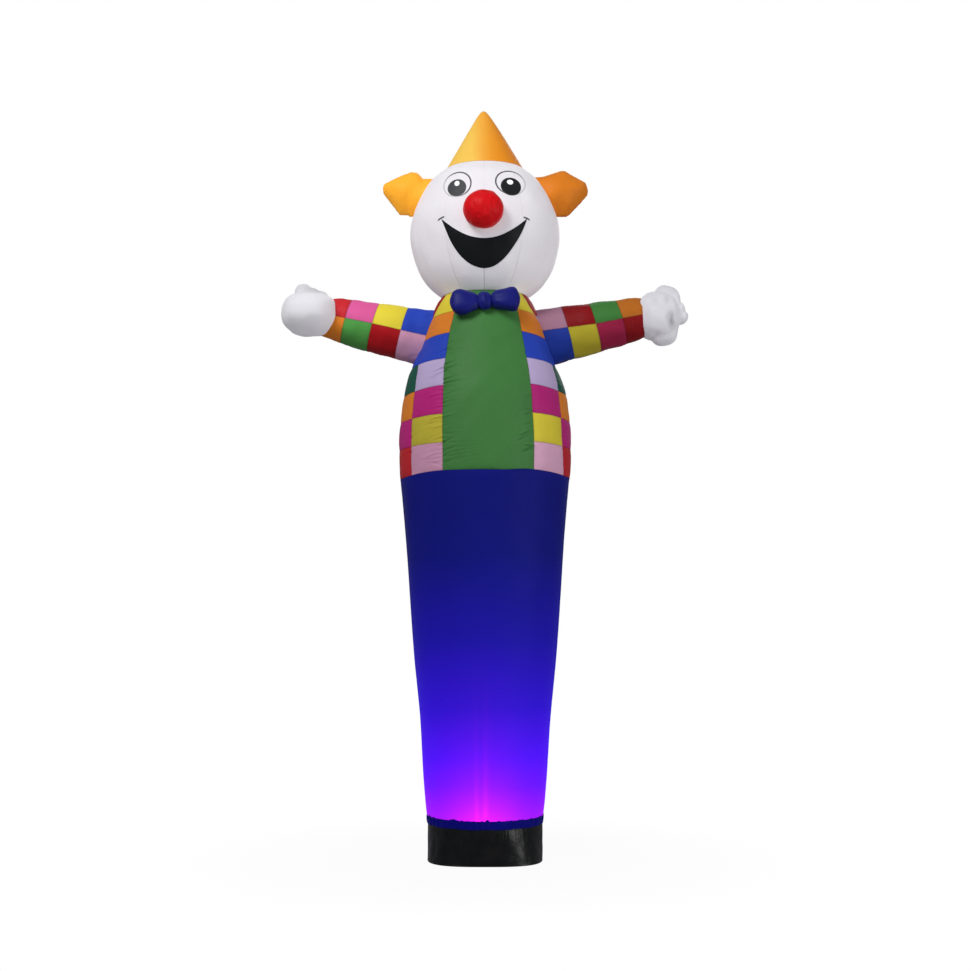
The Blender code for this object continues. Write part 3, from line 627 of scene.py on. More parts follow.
def cloth_object(name, points, closed=False, top=None, low=None, keep=None, flip=False):
    """A mesh from a grid of points, with optional poles after its last row (top) and before its
    first (low). keep masks the quads, and flip turns all faces over."""
    rows, columns = points.shape[:2]
    vertices = points.reshape(-1, 3)
    quads = grid_faces(rows, columns, closed)
    if keep is not None:
        quads = quads[keep.reshape(-1)]
    faces = quads.tolist()
    if top is not None:
        vertices = np.vstack([vertices, top])
        faces += fan_faces((rows - 1) * columns, columns, len(vertices) - 1, False).tolist()
    if low is not None:
        vertices = np.vstack([vertices, low])
        faces += fan_faces(0, columns, len(vertices) - 1, True).tolist()
    if flip:
        faces = [face[::-1] for face in faces]
    mesh = bpy.data.meshes.new(name)
    mesh.from_pydata(vertices.tolist(), [], faces)
    mesh.update()
    mesh.shade_smooth()
    mark_open_edges(mesh)
    made = bpy.data.objects.new(name, mesh)
    bpy.context.scene.collection.objects.link(made)
    return made


def write_cut(made, across, along):
    """The cloth's own two lengths in metres as a UV map: its weave follows them."""
    mesh = made.data
    corner = np.zeros(len(mesh.loops), np.int32)
    mesh.loops.foreach_get("vertex_index", corner)
    lengths = np.zeros((len(mesh.vertices), 2), np.float32)
    lengths[: across.size, 0] = across.reshape(-1)
    lengths[: along.size, 1] = along.reshape(-1)
    layer = mesh.uv_layers.new(name="cut")
    layer.data.foreach_set("uv", lengths[corner].reshape(-1))


def write_seams(made, away, run):
    """Each point's distance to its nearest seam and its place along that seam, in metres."""
    values = np.ones((len(made.data.vertices), 3), np.float32)
    values[: away.size, 0] = np.minimum(away.reshape(-1), 1)
    values[: run.size, 1] = run.reshape(-1)
    layer = made.data.attributes.new("sewing", "FLOAT_VECTOR", "POINT")
    layer.data.foreach_set("vector", values.reshape(-1))


def write_dyes(made, dyes):
    """The dye of each face, as a colour attribute; on some pieces it also holds painted light and
    shade.
    """
    values = np.ones((len(made.data.polygons), 4), np.float32)
    values[: len(dyes), :3] = dyes
    layer = made.data.attributes.new("dye", "FLOAT_COLOR", "FACE")
    layer.data.foreach_set("color", values.reshape(-1))


# ---------- dyes of the patchwork ----------

DYES = {
    # letter: linear red, green, blue
    "R": (0.50, 0.018, 0.026),
    "D": (0.36, 0.006, 0.010),
    "O": (0.72, 0.215, 0.022),
    "Y": (0.72, 0.600, 0.045),
    "G": (0.075, 0.300, 0.060),
    "T": (0.010, 0.085, 0.055),
    "B": (0.020, 0.060, 0.480),
    "N": (0.010, 0.020, 0.190),
    "L": (0.500, 0.400, 0.640),
    "P": (0.600, 0.300, 0.440),
    "M": (0.480, 0.018, 0.190),
    "C": (0.480, 0.020, 0.085),
    "H": (0.640, 0.095, 0.290),
    # K is Y darkened and Q is P lightened, for low patches beside the green front: painted shade on
    # the left, painted light on the right.
    "K": (0.500, 0.430, 0.042),
    "Q": (0.720, 0.400, 0.560),
}
VEST_CHART = {
    # rows from the waist up to the neck, columns from the front to the back
    -1: ("PKMLBOY", "RMOTBLD", "BLGRPMO", "YOBPGRL", "MGYRLBP"),
    1: ("QYMLBOY", "RMOTBLD", "GLBMPRO", "OPYGRBL", "LRMBOYG"),
}
SLEEVE_CHART = {
    # rows round the arm from its top over the front, columns from the body to the hand
    -1: ("BYHR", "PDGO", "YMLB", "NDOP"),
    1: ("PDGO", "BYCD", "OLRG", "NDBP"),
}

SLEEVE_PAINTED_LIGHT_AND_SHADE = {-1: 1.24, 1: 0.66}  # painted light and shade: the left sleeve's dyes are lightened as if lit, and the right one's darkened as if in shade


def dyes_of(letters):
    """Rows of red, green and blue for an array of letters."""
    values = np.zeros((*letters.shape, 3), np.float32)
    for letter, dye in DYES.items():
        values[letters == letter] = dye
    return values.reshape(-1, 3)


# ---------- node groups and materials ----------


def place(tree, kind, inputs=None, **settings):
    """Adds a shader node. A socket among its inputs is linked, and any other value is set."""
    node = tree.nodes.new("ShaderNode" + kind)
    for key, value in settings.items():
        setattr(node, key, value)
    for key, value in (inputs or {}).items():
        if isinstance(value, bpy.types.NodeSocket):
            tree.links.new(value, node.inputs[key])
        else:
            node.inputs[key].default_value = value
    return node


def number(tree, operation, *values):
    """A Math node's result."""
    return place(tree, "Math", dict(enumerate(values)), operation=operation).outputs[0]


def combined(tree, operation, *values):
    """One number from several, taken two at a time."""
    total = values[0]
    for value in values[1:]:
        total = number(tree, operation, total, value)
    return total


def squares(tree, across, up):
    """Sum of two squares."""
    return combined(tree, "ADD", *(number(tree, "POWER", side, 2.0) for side in (across, up)))


def from_middle(tree, value, middle, half):
    """How far a value is from a middle, over a half width."""
    return number(tree, "DIVIDE", number(tree, "SUBTRACT", value, middle), half)


def object_place(tree):
    """Where a point lies on the piece: as one vector, and as x, y and z."""
    where = place(tree, "TexCoord").outputs["Object"]
    return where, place(tree, "SeparateXYZ", {0: where}).outputs


def carried(tree, name):
    """An attribute that a piece carries."""
    return place(tree, "Attribute", attribute_name=name, attribute_type="GEOMETRY").outputs


def blended(tree, share, one, other, blend="MIX"):
    """A colour between one and the other."""
    inputs = {0: share, 6: one, 7: other}
    return place(tree, "Mix", inputs, data_type="RGBA", blend_type=blend).outputs[2]


def ramp(tree, value, stops):
    """A colour ramp through stops of place and colour."""
    node = place(tree, "ValToRGB", {"Fac": value})
    elements = node.color_ramp.elements
    while len(elements) < len(stops):
        elements.new(0.5)
    for element, (at, colour) in zip(elements, stops):
        element.position = at
        element.color = (*colour, 1.0)
    return node.outputs["Color"]


def smooth_step(tree, value, low, high):
    """0 below low, 1 above high, smooth between."""
    inputs = {0: value, 1: low, 2: high, 3: 0.0, 4: 1.0}
    return place(tree, "MapRange", inputs, interpolation_type="SMOOTHSTEP").outputs[0]


def new_group(name, inputs, outputs):
    """An empty node group with named sockets, and its input and output nodes."""
    tree = bpy.data.node_groups.new(name, "ShaderNodeTree")
    for title, kind, value in inputs:
        socket = tree.interface.new_socket(title, in_out="INPUT", socket_type=kind)
        socket.default_value = value
    for title, kind in outputs:
        tree.interface.new_socket(title, in_out="OUTPUT", socket_type=kind)
    return tree, tree.nodes.new("NodeGroupInput"), tree.nodes.new("NodeGroupOutput")


def noise(tree, vector, scale, detail=3.0, roughness=0.5):
    """Soft chance values about 0.5, finer where the scale is larger."""
    inputs = {"Vector": vector, "Scale": scale, "Detail": detail, "Roughness": roughness}
    return place(tree, "TexNoise", inputs).outputs["Fac"]


def rough_skin(tree, broad, broad_depth, fine, fine_depth, fine_strength):
    """Normal of broad relief with a finer one on it, each with its depth in metres."""
    under = place(tree, "Bump", {"Height": broad, "Distance": broad_depth, "Strength": 1.0})
    over = {"Height": fine, "Distance": fine_depth, "Strength": fine_strength}
    return place(tree, "Bump", {**over, "Normal": under.outputs[0]}).outputs[0]


YARN_SPACING = 0.0070  # of the cloth's thicker yarns
THREAD_SPACING = 0.0009
STITCH_PLACE = 0.0060  # of a row of stitches, away from its seam
STITCH_LENGTH = 0.0055


def nylon_group():
    """Woven nylon: faint blotches in the dye, a fine grid of thicker yarns, the shade and the
    two rows of stitches of a seam, and small creases, as colour, roughness and normal."""
    tree, given, put = new_group(
        "nylon",
        (
            ("Dye", "NodeSocketColor", (0.5, 0.5, 0.5, 1)),
            ("Roughness", "NodeSocketFloat", 0.5),
            ("Seam Shade", "NodeSocketFloat", 0.3),
            ("Crease Depth", "NodeSocketFloat", 0.002),
        ),
        (
            ("Colour", "NodeSocketColor"),
            ("Roughness", "NodeSocketFloat"),
            ("Normal", "NodeSocketVector"),
        ),
    )
    where = place(tree, "TexCoord").outputs["Object"]
    cut = place(tree, "UVMap", uv_map="cut").outputs["UV"]
    away, run, _ = place(tree, "SeparateXYZ", {0: carried(tree, "sewing")["Vector"]}).outputs

    blotch = noise(tree, where, 4.0, 2.0)
    fleck = noise(tree, where, 55.0, 3.0)
    level = number(tree, "MULTIPLY_ADD", blotch, 0.14, 0.91)
    level = number(tree, "MULTIPLY_ADD", fleck, 0.06, number(tree, "SUBTRACT", level, 0.01))

    lines, fine = [], []
    for side in place(tree, "SeparateXYZ", {0: cut}).outputs[:2]:
        within = number(tree, "PINGPONG", side, YARN_SPACING / 2)
        lines.append(smooth_step(tree, within, 0.0007, 0.0002))
        fine.append(number(tree, "SINE", number(tree, "MULTIPLY", side, TURN / THREAD_SPACING)))
    grid = number(tree, "MAXIMUM", *lines)
    weave = number(tree, "MULTIPLY", *fine)

    valley = smooth_step(tree, away, 0.0075, 0.0)
    shade = number(tree, "MULTIPLY", valley, given.outputs["Seam Shade"])
    row = number(tree, "ABSOLUTE", number(tree, "SUBTRACT", away, STITCH_PLACE))
    stitch_row = smooth_step(tree, row, 0.0011, 0.0005)
    along = number(tree, "FRACT", number(tree, "DIVIDE", run, STITCH_LENGTH))
    stitches = number(tree, "MULTIPLY", stitch_row, number(tree, "GREATER_THAN", along, 0.3))

    level = number(tree, "MULTIPLY", level, number(tree, "SUBTRACT", 1.0, shade))
    level = number(tree, "MULTIPLY_ADD", grid, 0.04, level)
    level = number(tree, "MULTIPLY_ADD", stitches, 0.10, level)
    colour = blended(tree, 1.0, given.outputs["Dye"], level, "MULTIPLY")
    tree.links.new(colour, put.inputs["Colour"])

    rough = number(tree, "SUBTRACT", fleck, 0.5)
    rough = number(tree, "MULTIPLY_ADD", rough, 0.18, given.outputs["Roughness"])
    rough = number(tree, "MULTIPLY_ADD", valley, 0.12, rough)
    tree.links.new(rough, put.inputs["Roughness"])

    small = noise(tree, where, 22.0, 4.0, 0.55)
    threads = number(tree, "MULTIPLY_ADD", stitches, 1.6, grid)
    threads = number(tree, "MULTIPLY_ADD", weave, 0.15, threads)
    normal = rough_skin(tree, small, given.outputs["Crease Depth"], threads, 0.00022, 0.8)
    tree.links.new(normal, put.inputs["Normal"])
    return tree


def turned_to(tree, across, up, angle):
    """Reach of a point along a line that leans by an angle."""
    part = number(tree, "MULTIPLY", across, math.cos(angle))
    return number(tree, "ADD", part, number(tree, "MULTIPLY", up, math.sin(angle)))


def line_at(tree, squared_reach, radius, outer, inner):
    """A line round a middle: 1 within inner of the radius and 0 beyond outer."""
    off = number(tree, "SUBTRACT", number(tree, "SQRT", squared_reach), radius)
    return smooth_step(tree, number(tree, "ABSOLUTE", off), outer, inner)


def eye_print_group():
    """The thin rings round the eyes and the short strokes at the corners of the mouth, printed
    on the front of the head: how dark the print is."""
    tree, _, put = new_group("eye_print", (), (("Ink", "NodeSocketFloat"),))
    x, y, z = object_place(tree)[1]
    inks = []
    for middle_x, middle_z, half_x, half_z, lean, strong_way in EYE_RINGS:
        dx, dz = number(tree, "SUBTRACT", x, middle_x), number(tree, "SUBTRACT", z, middle_z)
        across = number(tree, "DIVIDE", turned_to(tree, dx, dz, lean), half_x)
        up = number(tree, "DIVIDE", turned_to(tree, dz, dx, -lean), half_z)
        line = line_at(tree, squares(tree, across, up), 1.0, 0.075, 0.030)
        fade = smooth_step(tree, turned_to(tree, across, up, strong_way), -0.9, 0.5)
        inks.append(number(tree, "MULTIPLY", line, number(tree, "MULTIPLY_ADD", fade, 0.66, 0.30)))
    for middle_x, middle_z, radius, start_x, end_x in CORNER_STROKES:
        dx, dz = number(tree, "SUBTRACT", x, middle_x), number(tree, "SUBTRACT", z, middle_z)
        line = line_at(tree, squares(tree, dx, dz), radius, 0.0062, 0.0025)
        start = smooth_step(tree, x, start_x, start_x + STROKE_FADE)
        end = smooth_step(tree, x, end_x, end_x - STROKE_FADE)
        above = number(tree, "GREATER_THAN", dz, 0.0)
        inks.append(combined(tree, "MULTIPLY", line, start, end, above))
    ink = combined(tree, "MAXIMUM", *inks)
    front = number(tree, "LESS_THAN", y, 0.0)
    tree.links.new(number(tree, "MULTIPLY", ink, front), put.inputs["Ink"])
    return tree


EYE_RINGS = (
    # across, height, half width, half height, lean, where the line is darkest (angle)
    (-0.1612, 3.9680, 0.0795, 0.0830, math.radians(-8), math.radians(40)),
    (0.1488, 3.9775, 0.0865, 0.0800, math.radians(-8), math.radians(160)),
)
CORNER_STROKES = (
    # middle across, middle height, radius, from, to
    (-0.2290, 3.6970, 0.0720, -0.2780, -0.2330),
    (0.2230, 3.6920, 0.0720, 0.2200, 0.2640),
)
STROKE_FADE = 0.008  # a stroke grows and fades over this distance
EYE_LIGHTS = {
    # across, height, half width, half height
    -1: (-0.1635, 3.9730, 0.0135, 0.0155),
    1: (0.1462, 3.9795, 0.0165, 0.0150),
}
# The left pupil's grey is painted sheen, a reflection on the glossy print; the right one's is the
# print's black.
PUPIL_DYES_AND_PAINTED_SHEEN = {-1: (0.050, 0.052, 0.056), 1: (0.0085, 0.009, 0.010)}


def new_material(name):
    """A material, its tree and its main shader."""
    material = bpy.data.materials.new(name)
    material.use_nodes = True
    tree = material.node_tree
    return material, tree, tree.nodes["Principled BSDF"]


def add_cloth(tree, shader, dye, roughness, seam_shade, crease):
    """The shared nylon in a material: it gives the roughness and the normal, and this returns
    its colour."""
    values = {"Dye": dye, "Roughness": roughness, "Seam Shade": seam_shade, "Crease Depth": crease}
    cloth = place(tree, "Group", values, node_tree=GROUPS["nylon"])
    for name in ("Roughness", "Normal"):
        tree.links.new(cloth.outputs[name], shader.inputs[name])
    return cloth.outputs["Colour"]


def nylon(name, dye, rough=0.5, seam_shade=0.2, crease=0.001, gloss=0.12, glow=0.0, printed=False):
    """Nylon cloth of one dye, or of the dye that a function of the tree gives. Light that comes
    through thin, pale cloth shows as a faint glow of its own colour."""
    material, tree, shader = new_material(name)
    source = dye(tree) if callable(dye) else (*dye, 1.0)
    colour = add_cloth(tree, shader, source, rough, seam_shade, crease)
    if printed:
        ink = place(tree, "Group", node_tree=GROUPS["eye_print"]).outputs["Ink"]
        colour = blended(tree, ink, colour, (0.035, 0.035, 0.042, 1.0))
    tree.links.new(colour, shader.inputs["Base Color"])
    if glow:
        tree.links.new(colour, shader.inputs["Emission Color"])
        shader.inputs["Emission Strength"].default_value = glow
    shader.inputs["Specular IOR Level"].default_value = gloss
    shader.inputs["Sheen Weight"].default_value = 0.02
    shader.inputs["Sheen Roughness"].default_value = 0.4
    return material


def face_dye(tree):
    """The dye that each face of a piece carries, with the painted light and shade that some pieces
    add to it.
    """
    return carried(tree, "dye")["Color"]


def hat_dye_and_painted_light(tree):
    """Orange with painted light and shade: paler on the left, where more light comes through the
    hat, and deeper towards the shaded right.
    """
    where, (x, _, _) = object_place(tree)
    drift = number(tree, "SUBTRACT", x, 0.015)
    drift = number(tree, "MULTIPLY_ADD", noise(tree, where, 6.0, 2.0), 0.03, drift)
    return ramp(tree, number(tree, "MULTIPLY_ADD", drift, 2.0, 0.5), HAT_DYES_LIT_TO_SHADED)


HAT_DYES_LIT_TO_SHADED = (
    # painted light and shade, from the lit left to the shaded right: place from left to right, red,
    # green, blue
    (0.25, (1.0, 0.62, 0.105)),
    (0.34, (0.99, 0.60, 0.100)),
    (0.475, (0.92, 0.42, 0.050)),
    (0.58, (0.89, 0.34, 0.028)),
    (0.67, (0.87, 0.30, 0.017)),
    (0.85, (0.82, 0.26, 0.014)),
)


def pupil_material(side):
    """Black print with one printed white highlight, an ellipse on the front; the highlight glows as
    painted light.
    """
    material, tree, shader = new_material(f"pupil_{SIDES[side]}_print")
    x, _, z = object_place(tree)[1]
    middle_x, middle_z, half_x, half_z = EYE_LIGHTS[side]
    across = from_middle(tree, x, middle_x, half_x)
    up = from_middle(tree, z, middle_z, half_z)
    white = smooth_step(tree, squares(tree, across, up), 1.5, 0.9)
    cloth = add_cloth(tree, shader, (*PUPIL_DYES_AND_PAINTED_SHEEN[side], 1.0), 0.42, 0.0, 0.0008)
    colour = blended(tree, white, cloth, (0.85, 0.85, 0.88, 1.0))
    tree.links.new(colour, shader.inputs["Base Color"])
    # Painted light: the printed highlight glows, brighter than the lamps make white cloth.
    highlight_painted_glow = blended(tree, white, (0.0, 0.0, 0.0, 1.0), (1.0, 1.0, 1.0, 1.0))
    tree.links.new(highlight_painted_glow, shader.inputs["Emission Color"])
    shader.inputs["Emission Strength"].default_value = 0.4
    return material


GLOW_STOPS = (
    # height in metres, red, green, blue
    (0.262, (0.36, 0.003, 0.90)),
    (0.330, (0.28, 0.002, 0.93)),
    (0.450, (0.145, 0.001, 0.93)),
    (0.620, (0.070, 0.0, 0.84)),
    (0.910, (0.024, 0.0, 0.50)),
    (1.310, (0.006, 0.0, 0.20)),
    (1.800, (0.000, 0.0, 0.02)),
    (2.100, (0.000, 0.0, 0.0)),
)


def trouser_material(name):
    """Blue nylon lit from inside: a lamp at the bottom of the tube makes it magenta above the
    hem, violet and blue higher up, with two brighter streaks at the front."""
    material = nylon(name, (0.007, 0.010, 0.20), rough=0.55, gloss=0.05)
    tree = material.node_tree
    shader = tree.nodes["Principled BSDF"]
    where, (x, y, z) = object_place(tree)
    top = GLOW_STOPS[-1][0]
    height = number(tree, "SUBTRACT", z, 0.05)
    height = number(tree, "MULTIPLY_ADD", noise(tree, where, 2.2, 2.0), 0.10, height)
    height = number(tree, "DIVIDE", height, top)
    glow = ramp(tree, height, [(at / top, colour) for at, colour in GLOW_STOPS])
    azimuth = number(tree, "ARCTAN2", x, number(tree, "MULTIPLY", y, -1.0))
    spots = []
    for middle, width, high, strength in GLOW_SPOTS:
        off = number(tree, "POWER", from_middle(tree, azimuth, middle, width), 2.0)
        across = number(tree, "POWER", math.e, number(tree, "MULTIPLY", off, -1.0))
        below = number(tree, "DIVIDE", number(tree, "SUBTRACT", TROUSER_LOW, z), high)
        fall = number(tree, "POWER", math.e, below)
        spots.append(combined(tree, "MULTIPLY", across, fall, strength))
    spot = number(tree, "MINIMUM", combined(tree, "ADD", *spots), 1.0)
    hot = blended(tree, spot, (0, 0, 0, 1), (1.0, 0.012, 0.35, 1))
    light = blended(tree, 1.0, glow, hot, "ADD")
    tree.links.new(light, shader.inputs["Emission Color"])
    shader.inputs["Emission Strength"].default_value = 1.0
    return material


GLOW_SPOTS = (
    # azimuth, half width, height that it falls over, strength
    (math.radians(-1), math.radians(31), 0.170, 0.58),
    (math.radians(-7.5), math.radians(2.2), 0.16, 0.26),
    (math.radians(0.5), math.radians(2.6), 0.17, 0.30),
    (math.radians(125), math.radians(31), 0.150, 0.45),
    (math.radians(-125), math.radians(31), 0.150, 0.45),
)


def cover_material(name):
    """Black coated cloth: glossy, crinkled, and dusty in random blotches."""
    material, tree, shader = new_material(name)
    where = place(tree, "TexCoord").outputs["Object"]
    dust = noise(tree, where, 9.0, 4.0, 0.6)
    dusty = smooth_step(tree, dust, 0.42, 0.75)
    colour = blended(tree, dusty, (0.0030, 0.0035, 0.0038, 1), (0.0075, 0.0080, 0.0080, 1))
    tree.links.new(colour, shader.inputs["Base Color"])
    rough = number(tree, "MULTIPLY_ADD", noise(tree, where, 35.0, 3.0), 0.25, 0.22)
    tree.links.new(rough, shader.inputs["Roughness"])
    crinkle = noise(tree, where, 16.0, 4.0, 0.55)
    normal = rough_skin(tree, crinkle, 0.003, noise(tree, where, 420.0, 2.0), 0.0004, 0.6)
    tree.links.new(normal, shader.inputs["Normal"])
    shader.inputs["Specular IOR Level"].default_value = 0.18
    shader.inputs["Coat Weight"].default_value = 0.06
    shader.inputs["Coat Roughness"].default_value = 0.25
    return material


GROUPS = {"nylon": nylon_group(), "eye_print": eye_print_group()}
# The hat's orange holds painted light on its left and painted shade on its right.
ORANGE_HAT = nylon("orange_nylon_hat", hat_dye_and_painted_light, glow=0.07)
# Painted light and shade: the left tuft's orange is paler and glows more, as if lit, and the right
# one's is deeper and glows less, as if in the head's shadow.
TUFT_ORANGES_LIT_AND_SHADED = {
    -1: nylon("orange_nylon_left_painted_lit", (0.93, 0.40, 0.030), glow=0.38),
    1: nylon("orange_nylon_right_painted_shade", (0.66, 0.19, 0.014), glow=0.16),
}
HEAD_DYE = (0.74, 0.715, 0.755)
WHITE_HEAD = nylon("white_head_nylon", HEAD_DYE, 0.5, 0.26, 0.0012, glow=0.27, printed=True)
WHITE_GLOVE = nylon("white_nylon_glove", face_dye, crease=0.0018, glow=0.33)
RED = nylon("red_nylon", (0.66, 0.004, 0.008), 0.45, 0.25, 0.0012, gloss=0.14, glow=0.10)
BLACK = nylon("black_nylon", (0.0085, 0.0095, 0.011), 0.45, seam_shade=0.0)
BOW_BLUE = nylon("bow_nylon", (0.009, 0.012, 0.175), 0.42, 0.3, 0.0016)
GREEN = nylon("green_nylon", (0.058, 0.205, 0.052), 0.5, 0.3, 0.0012)
PATCHWORK = nylon("patchwork_nylon", face_dye, 0.5, 0.32, 0.0012)
HEM_BLUE = nylon("hem_nylon", (0.003, 0.003, 0.20), crease=0.0016, gloss=0.05)
TROUSERS = trouser_material("trouser_nylon")
COVER_BLACK = cover_material("black_cover")
PUPIL_PRINTS = {side: pupil_material(side) for side in SIDES}


# ---------- sewing in a piece ----------


def sew_in(made, material, nodes, thickness=CLOTH):
    """Gives a piece its cloth, wall and body, and hides the CAD nodes that it stands for."""
    made.data.materials.append(material)
    if thickness:
        wall = made.modifiers.new("wall", "SOLIDIFY")
        wall.thickness, wall.offset = thickness, -1.0
    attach(made, "root")
    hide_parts(*nodes)


# ---------- hat and head ----------

def make_hat():
    """The cone, with its seam at the back."""
    azimuth, slant = round_grid(120, np.linspace(0, 1, 57)[:-1])
    points = hat_skin(azimuth, slant)
    radius = np.hypot(points[..., 0] - HAT_LEAN * slant**2, points[..., 1])
    made = cloth_object("hat", points, closed=True, top=(HAT_LEAN, 0, HAT_RINGS[-1][0]))
    run = slant * HAT_SLANT
    write_cut(made, azimuth * radius, run)
    back = np.abs(wrapped(azimuth - math.pi)) * radius
    write_seams(made, np.minimum(run, back), azimuth * radius)
    sew_in(made, ORANGE_HAT, ["hat_cone"])


def make_head():
    """Twelve gores. The seams in the middle of the face are faint, and plainer above the mouth."""
    for gore in range(12):
        azimuths = HEAD_TURN + GORE * (gore + spaced(16))
        heights = HEAD_LOW + (HEAD_HIGH - HEAD_LOW) * spaced(100, 0.35)
        azimuth, height = np.meshgrid(azimuths, heights)
        made = cloth_object(f"gore_{gore + 1:02d}", turned_points(head_skin, azimuth, height))
        radius = smooth_table(height, HEAD_RINGS)
        place_in = (azimuth - HEAD_TURN) / GORE - gore
        write_cut(made, (place_in - 0.5) * GORE * radius, height)
        side = np.minimum(place_in, 1 - place_in) * GORE * radius
        ring = 1.4 * np.minimum(height - HEAD_LOW, HEAD_HIGH - height)
        faint = 0.0035 if gore in (0, 1, 10, 11) else 0.0055
        plain = faint * eased(height, 3.50, 3.62) if gore in (0, 11) else faint
        run = np.where(side < ring, height, azimuth * 0.3)
        write_seams(made, np.minimum(side + plain, ring), run)
        sew_in(made, WHITE_HEAD, [f"head_gore_{gore + 1:02d}"])


def on_head(x, z, lift):
    """Point of the head's front at x and z, lifted off its skin."""
    depth = np.sqrt(np.maximum(smooth_table(z, HEAD_RINGS) ** 2 - x**2, 0))
    for _ in range(8):
        radius = head_skin(np.arctan2(x, depth), z) + lift
        depth = np.sqrt(np.maximum(radius**2 - x**2, 0))
    return np.stack([x, -depth, z], -1)


def make_mouth():
    """A crescent between a parabola and the smooth lower lip, on the skin of the head."""
    middle, half = (MOUTH_LEFT + MOUTH_RIGHT) / 2, (MOUTH_RIGHT - MOUTH_LEFT) / 2
    share = -np.cos(math.pi * (0.01 + 0.98 * np.linspace(0, 1, 73)))
    share, up = np.meshgrid(share, np.linspace(0, 1, 27))
    x = middle + half * share
    top = MOUTH_TOP_HEIGHT + share**2 * (MOUTH_CORNER_HEIGHT - MOUTH_TOP_HEIGHT)
    low = np.minimum(smooth_table(x, MOUTH_LOWER_EDGE), top - 0.0008)
    z = low + up * (top - low)
    made = cloth_object("mouth", on_head(x, z, PATCH_LIFT))
    write_cut(made, x, z)
    away = np.minimum(up * (top - low), (1 - up) * (top - low)) * 0.7
    write_seams(made, away, x)
    sew_in(made, BLACK, ["mouth_patch"], PATCH_LIFT)


def make_pupil(side):
    """An oval on the head's skin, in rings about its middle."""
    turn, reach = round_grid(48, np.linspace(1, 0.1, 10))
    middle_x, middle_z = PUPIL_MIDDLES[side]
    half_width, half_height = PUPIL_HALF_SIZES[side]
    x = middle_x + half_width * reach * np.cos(turn)
    z = middle_z + half_height * reach * np.sin(turn)
    middle = on_head(np.array([middle_x]), np.array([middle_z]), PATCH_LIFT)[0]
    name = f"pupil_{SIDES[side]}"
    made = cloth_object(f"{name}_print", on_head(x, z, PATCH_LIFT), closed=True, top=middle)
    write_cut(made, x, z)
    write_seams(made, (1 - reach) * half_height, turn * half_height)
    sew_in(made, PUPIL_PRINTS[side], [name], PATCH_LIFT)


# ---------- shapes that are seated on the figure ----------


def halved(inside, low, high, steps):
    """Low, which lies inside, and high, which doesn't, after halving the way between them."""
    for _ in range(steps):
        middle = (low + high) / 2
        kept = inside(middle)
        low, high = np.where(kept, middle, low), np.where(kept, high, middle)
    return low, high


def first_outside(surface, turns, depth, low, high):
    """For each turn, the s between low and high where depth(surface(turn, s)) rises past 0."""
    ends = (np.full(turns.shape, float(end)) for end in (low, high))
    return halved(lambda s: depth(surface(turns, s)) < 0, *ends, 30)[1]


def beyond_head(points):
    """Distance from the head's skin, with the tuck of a rim."""
    x, y, z = np.moveaxis(points, -1, 0)
    height = np.clip(z, HEAD_LOW, HEAD_HIGH)
    return np.hypot(x, y) - head_skin(np.arctan2(x, -y), height) + SEAT_TUCK


def beyond_vest(points):
    """Distance from the vest's skin, with the tuck of a rim. Its rows droop, so the height
    before that is found in three rounds."""
    x, y, z = np.moveaxis(points, -1, 0)
    azimuth, height = np.arctan2(x, -y), z
    for _ in range(3):
        height = height + z - drooped(azimuth, height)
    height = np.clip(height, VEST_LOW, VEST_HIGH)
    return np.hypot(x, y) - vest_skin(azimuth, height) + SEAT_TUCK


NOSE_DENTS = (
    # across, up, half width, half height, depth
    (-0.018, 0.082, 0.010, 0.006, 0.0120),
    (-0.010, 0.074, 0.004, 0.012, 0.0072),
    (-0.034, 0.076, 0.005, 0.010, 0.0048),
    (-0.056, 0.004, 0.006, 0.020, 0.0056),
    (0.058, 0.000, 0.006, 0.022, 0.0072),
    (0.020, -0.030, 0.008, 0.020, 0.0035),
    (-0.028, -0.060, 0.012, 0.008, 0.0040),
    (0.055, -0.058, 0.010, 0.012, 0.0048),
    (0.030, 0.060, 0.008, 0.012, 0.0035),
)
NOSE_GORES = 6
NOSE_POLE = np.array([-0.013, -0.62, 0.78])  # where the nose's gores meet


